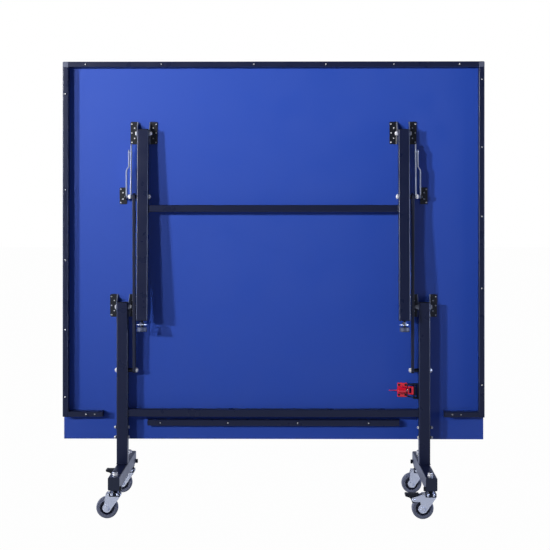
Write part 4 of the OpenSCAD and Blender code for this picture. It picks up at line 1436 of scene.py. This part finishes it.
@dataclass
class CasterMounts:
    """The kingpins and top nuts that hold the casters in the foot beams."""

    stud: float = 5.0
    across: float = 17.0
    washer: float = 1.6
    body: str = "trolley"

    def build(self) -> None:
        """Makes the race cups with their studs, and the nuts on the beams."""
        cups, nuts = Shape(), Shape()
        bottom, top = (corner.z for corner in box_mm("foot_beam_right"))
        for low, high in solids_mm("caster_stems"):
            middle = centre_mm((low, high))
            at = Vector((middle.x, middle.y, 0))
            cups.turned([(0, low.z), (7, low.z), (8, low.z + 1), (8, bottom - 19.4),
                         (self.stud, bottom - 19), (self.stud, bottom - 6), (16.5, bottom - 6),
                         (18.4, bottom - 5), (19, bottom - 3), (19, bottom), (self.stud, bottom),
                         (self.stud, high.z - 1), (4, high.z), (0, high.z)],
                        at, Facing.UP, 40)
        # Painted shade: the race cups and studs are drawn in black zinc, dark as the shade under the beam.
        cups.piece("race_cups_and_studs", self.body, [BLACK_ZINC_AND_PAINTED_SHADE], "zinc", "caster_stems")
        for low, high in solids_mm("caster_nuts"):
            middle = centre_mm((low, high))
            at = Vector((middle.x, middle.y, top))
            nuts.ring(self.stud, 10.5, self.washer, at, Facing.UP)
            nuts.hexagon(self.across, high.z - top - self.washer, at + Vector((0, 0, self.washer)),
                         Facing.UP)
        nuts.piece("beam_top_nuts", self.body, [ZINC_WITH_PAINTED_HIGHLIGHT], "zinc", "caster_nuts")


# ---- Studio ----


def fade(reach: tuple[float, float], levels: tuple[float, float]) -> dict:
    """The settings of a map range that goes smoothly from one level to another over a stretch."""
    return {"From Min": reach[0], "From Max": reach[1], "To Min": levels[0], "To Max": levels[1],
            "interpolation_type": "SMOOTHSTEP"}


@dataclass(frozen=True)
class Lamp:
    """A soft box: its place, what it points at, its size in metres, its power in watts and its spread in
    degrees, and whether only gloss sees it."""

    name: str
    place: tuple[float, float, float]
    target: tuple[float, float, float]
    size: float
    power: float
    spread: float = 180.0
    sheen_only: bool = False
    colour: str = "#ffffff"


@dataclass
class Studio:
    """The floor, the light and the camera."""

    lens: float = 87.8
    shift: float = -0.13
    eye: tuple[float, float, float] = (0.057, -4.850, 1.081)
    tilt: float = 90.09
    turn: float = 0.60
    cool_white: str = "#ccd4ef"
    wall_reach: tuple[float, float] = (-0.75, 0.15)
    front_level: float = 0.06
    fill: float = 0.95
    overhead_reach: tuple[float, float] = (0.02, 0.22)
    overhead_level: float = 0.25
    pool_reach: tuple[float, float] = (-1.1, -0.65)
    pool_levels: tuple[float, float] = (0.62, 0.85)
    floor_size: float = 30.0
    floor_glow: float = 0.985
    lamps: tuple[Lamp, ...] = (
        Lamp("near_soft_box", (-2.9, -4.1, 1.95), (-0.2, 0.0, 2.75), 0.45, 27.0, 80.0),
        Lamp("far_soft_box", (-5.1, -4.1, 1.95), (-0.2, 0.0, 2.75), 0.45, 56.0, 70.0),
        Lamp("left_strip", (-3.0, -0.9, 0.9), (0.0, 0.0, 0.8), 1.3, 70.0, sheen_only=True, colour="#c4d4ff"),
        Lamp("right_strip", (3.0, -0.9, 0.9), (0.0, 0.0, 0.8), 1.3, 150.0, sheen_only=True, colour="#c4d4ff"),
    )

    def build(self) -> None:
        """Makes the camera, the lamps, the world and the floor."""
        scene = bpy.context.scene
        scene.view_settings.view_transform = "Standard"
        lens = bpy.data.cameras.new("camera")
        lens.sensor_width = 36.0
        lens.lens = self.lens
        lens.shift_y = self.shift
        camera = bpy.data.objects.new("camera", lens)
        camera.location = self.eye
        camera.rotation_euler = (math.radians(self.tilt), 0, math.radians(self.turn))
        scene.collection.objects.link(camera)
        scene.camera = camera
        for lamp in self.lamps:
            self._lamp(lamp)
        self._world()
        self._floor()

    @staticmethod
    def _lamp(lamp: Lamp) -> None:
        """Hangs a soft box and points it."""
        light = bpy.data.lights.new(lamp.name, "AREA")
        light.size = lamp.size
        light.energy = lamp.power
        light.color = linear(lamp.colour)[:3]
        light.spread = math.radians(lamp.spread)
        hung = bpy.data.objects.new(lamp.name, light)
        hung.location = lamp.place
        way = Vector(lamp.target) - Vector(lamp.place)
        hung.rotation_euler = way.to_track_quat("-Z", "Y").to_euler()
        hung.visible_camera = False
        hung.visible_diffuse = not lamp.sheen_only
        bpy.context.scene.collection.objects.link(hung)

    def _tint(self, tree: bpy.types.NodeTree, seen: bpy.types.NodeSocket) -> bpy.types.NodeSocket:
        """White where it is seen, and a cool white for the light it gives."""
        return add_node(tree, "ShaderNodeMix", {"data_type": "RGBA", 6: linear(self.cool_white),
                                                7: linear("#ffffff")}, {0: seen}).outputs[2]

    def _world(self) -> None:
        """Makes the studio: white where it is seen, and for the light it gives and the gloss it fills
        bright behind the table, dark before it, and dimmer overhead."""
        world = bpy.data.worlds.new("studio")
        bpy.context.scene.world = world
        tree = empty_tree(world)
        way = add_node(tree, "ShaderNodeTexCoord").outputs["Generated"]
        parts = add_node(tree, "ShaderNodeSeparateXYZ", None, {"Vector": way})
        wall = add_node(tree, "ShaderNodeMapRange", fade(self.wall_reach, (self.front_level, 1.0)),
                        {"Value": parts.outputs["Y"]})
        rays = add_node(tree, "ShaderNodeLightPath")
        fill = add_node(tree, "ShaderNodeMath", {"operation": "MULTIPLY", 1: self.fill},
                        {0: wall.outputs["Result"]})
        rise = add_node(tree, "ShaderNodeMapRange", fade(self.overhead_reach, (1.0, self.overhead_level)),
                        {"Value": parts.outputs["Z"]})
        mirrored = add_node(tree, "ShaderNodeMath", {"operation": "MULTIPLY"},
                            {0: wall.outputs["Result"], 1: rise.outputs["Result"]})
        lit = add_node(tree, "ShaderNodeMix", {"data_type": "FLOAT"},
                       {0: rays.outputs["Is Glossy Ray"], 2: fill.outputs["Value"],
                        3: mirrored.outputs["Value"]})
        seen = add_node(tree, "ShaderNodeMath", {"operation": "MAXIMUM"},
                        {0: rays.outputs["Is Camera Ray"], 1: rays.outputs["Is Transmission Ray"]})
        level = add_node(tree, "ShaderNodeMix", {"data_type": "FLOAT", 3: 1.0},
                         {0: seen.outputs["Value"], 2: lit.outputs[0]})
        sky = add_node(tree, "ShaderNodeBackground", None,
                       {"Color": self._tint(tree, seen.outputs["Value"]), "Strength": level.outputs[0]})
        add_node(tree, "ShaderNodeOutputWorld", None, {"Surface": sky.outputs["Background"]})

    def _floor(self) -> None:
        """Lays a white floor that keeps a faint shadow, and that glows for gloss alone, brighter near the
        table: a painted pool of light for reflections.
        """
        part = bmesh.new()
        bmesh.ops.create_grid(part, x_segments=1, y_segments=1, size=self.floor_size)
        data = bpy.data.meshes.new("studio_floor")
        part.to_mesh(data)
        part.free()
        floor = bpy.data.objects.new("studio_floor", data)
        bpy.context.scene.collection.objects.link(floor)
        paint = bpy.data.materials.new("white_floor_paint")
        tree = empty_tree(paint)
        matt = add_node(tree, "ShaderNodeBsdfDiffuse", {"Color": linear("#909090")})
        place = add_node(tree, "ShaderNodeTexCoord").outputs["Object"]
        parts = add_node(tree, "ShaderNodeSeparateXYZ", None, {"Vector": place})
        # Painted light: for gloss rays the floor glows, dimmer in front and brighter near the table.
        pool = add_node(tree, "ShaderNodeMapRange", fade(self.pool_reach, self.pool_levels),
                        {"Value": parts.outputs["Y"]})
        rays = add_node(tree, "ShaderNodeLightPath")
        level = add_node(tree, "ShaderNodeMath", {"operation": "MAXIMUM"},
                         {0: pool.outputs["Result"], 1: rays.outputs["Is Camera Ray"]})
        tint = self._tint(tree, rays.outputs["Is Camera Ray"])
        glow = add_node(tree, "ShaderNodeEmission", None,
                        {"Color": tint, "Strength": level.outputs["Value"]})
        seen = add_node(tree, "ShaderNodeMath", {"operation": "MULTIPLY", 1: self.floor_glow},
                        {0: rays.outputs["Is Camera Ray"]})
        share = add_node(tree, "ShaderNodeMath", {"operation": "MAXIMUM"},
                         {0: seen.outputs["Value"], 1: rays.outputs["Is Glossy Ray"]})
        both = add_node(tree, "ShaderNodeMixShader", None,
                        {0: share.outputs["Value"], 1: matt.outputs["BSDF"], 2: glow.outputs["Emission"]})
        add_node(tree, "ShaderNodeOutputMaterial", None, {"Surface": both.outputs["Shader"]})
        data.materials.append(paint)


def main() -> None:
    """Builds the table and its studio."""
    logging.basicConfig(level=logging.INFO, format="%(message)s")
    TableTop().build()
    Aprons().build()
    HingePlates().build()
    StayBrackets().build()
    StorageLatch().build()
    FoldingLegs().build()
    Linkage().build()
    Trolley().build()
    for name in ("front_left", "front_right", "rear_left", "rear_right"):
        Caster(name, f"pedal_{name}" in frame["bodies"]).build()
    CasterMounts().build()
    Studio().build()


if __name__ == "__main__":
    main()
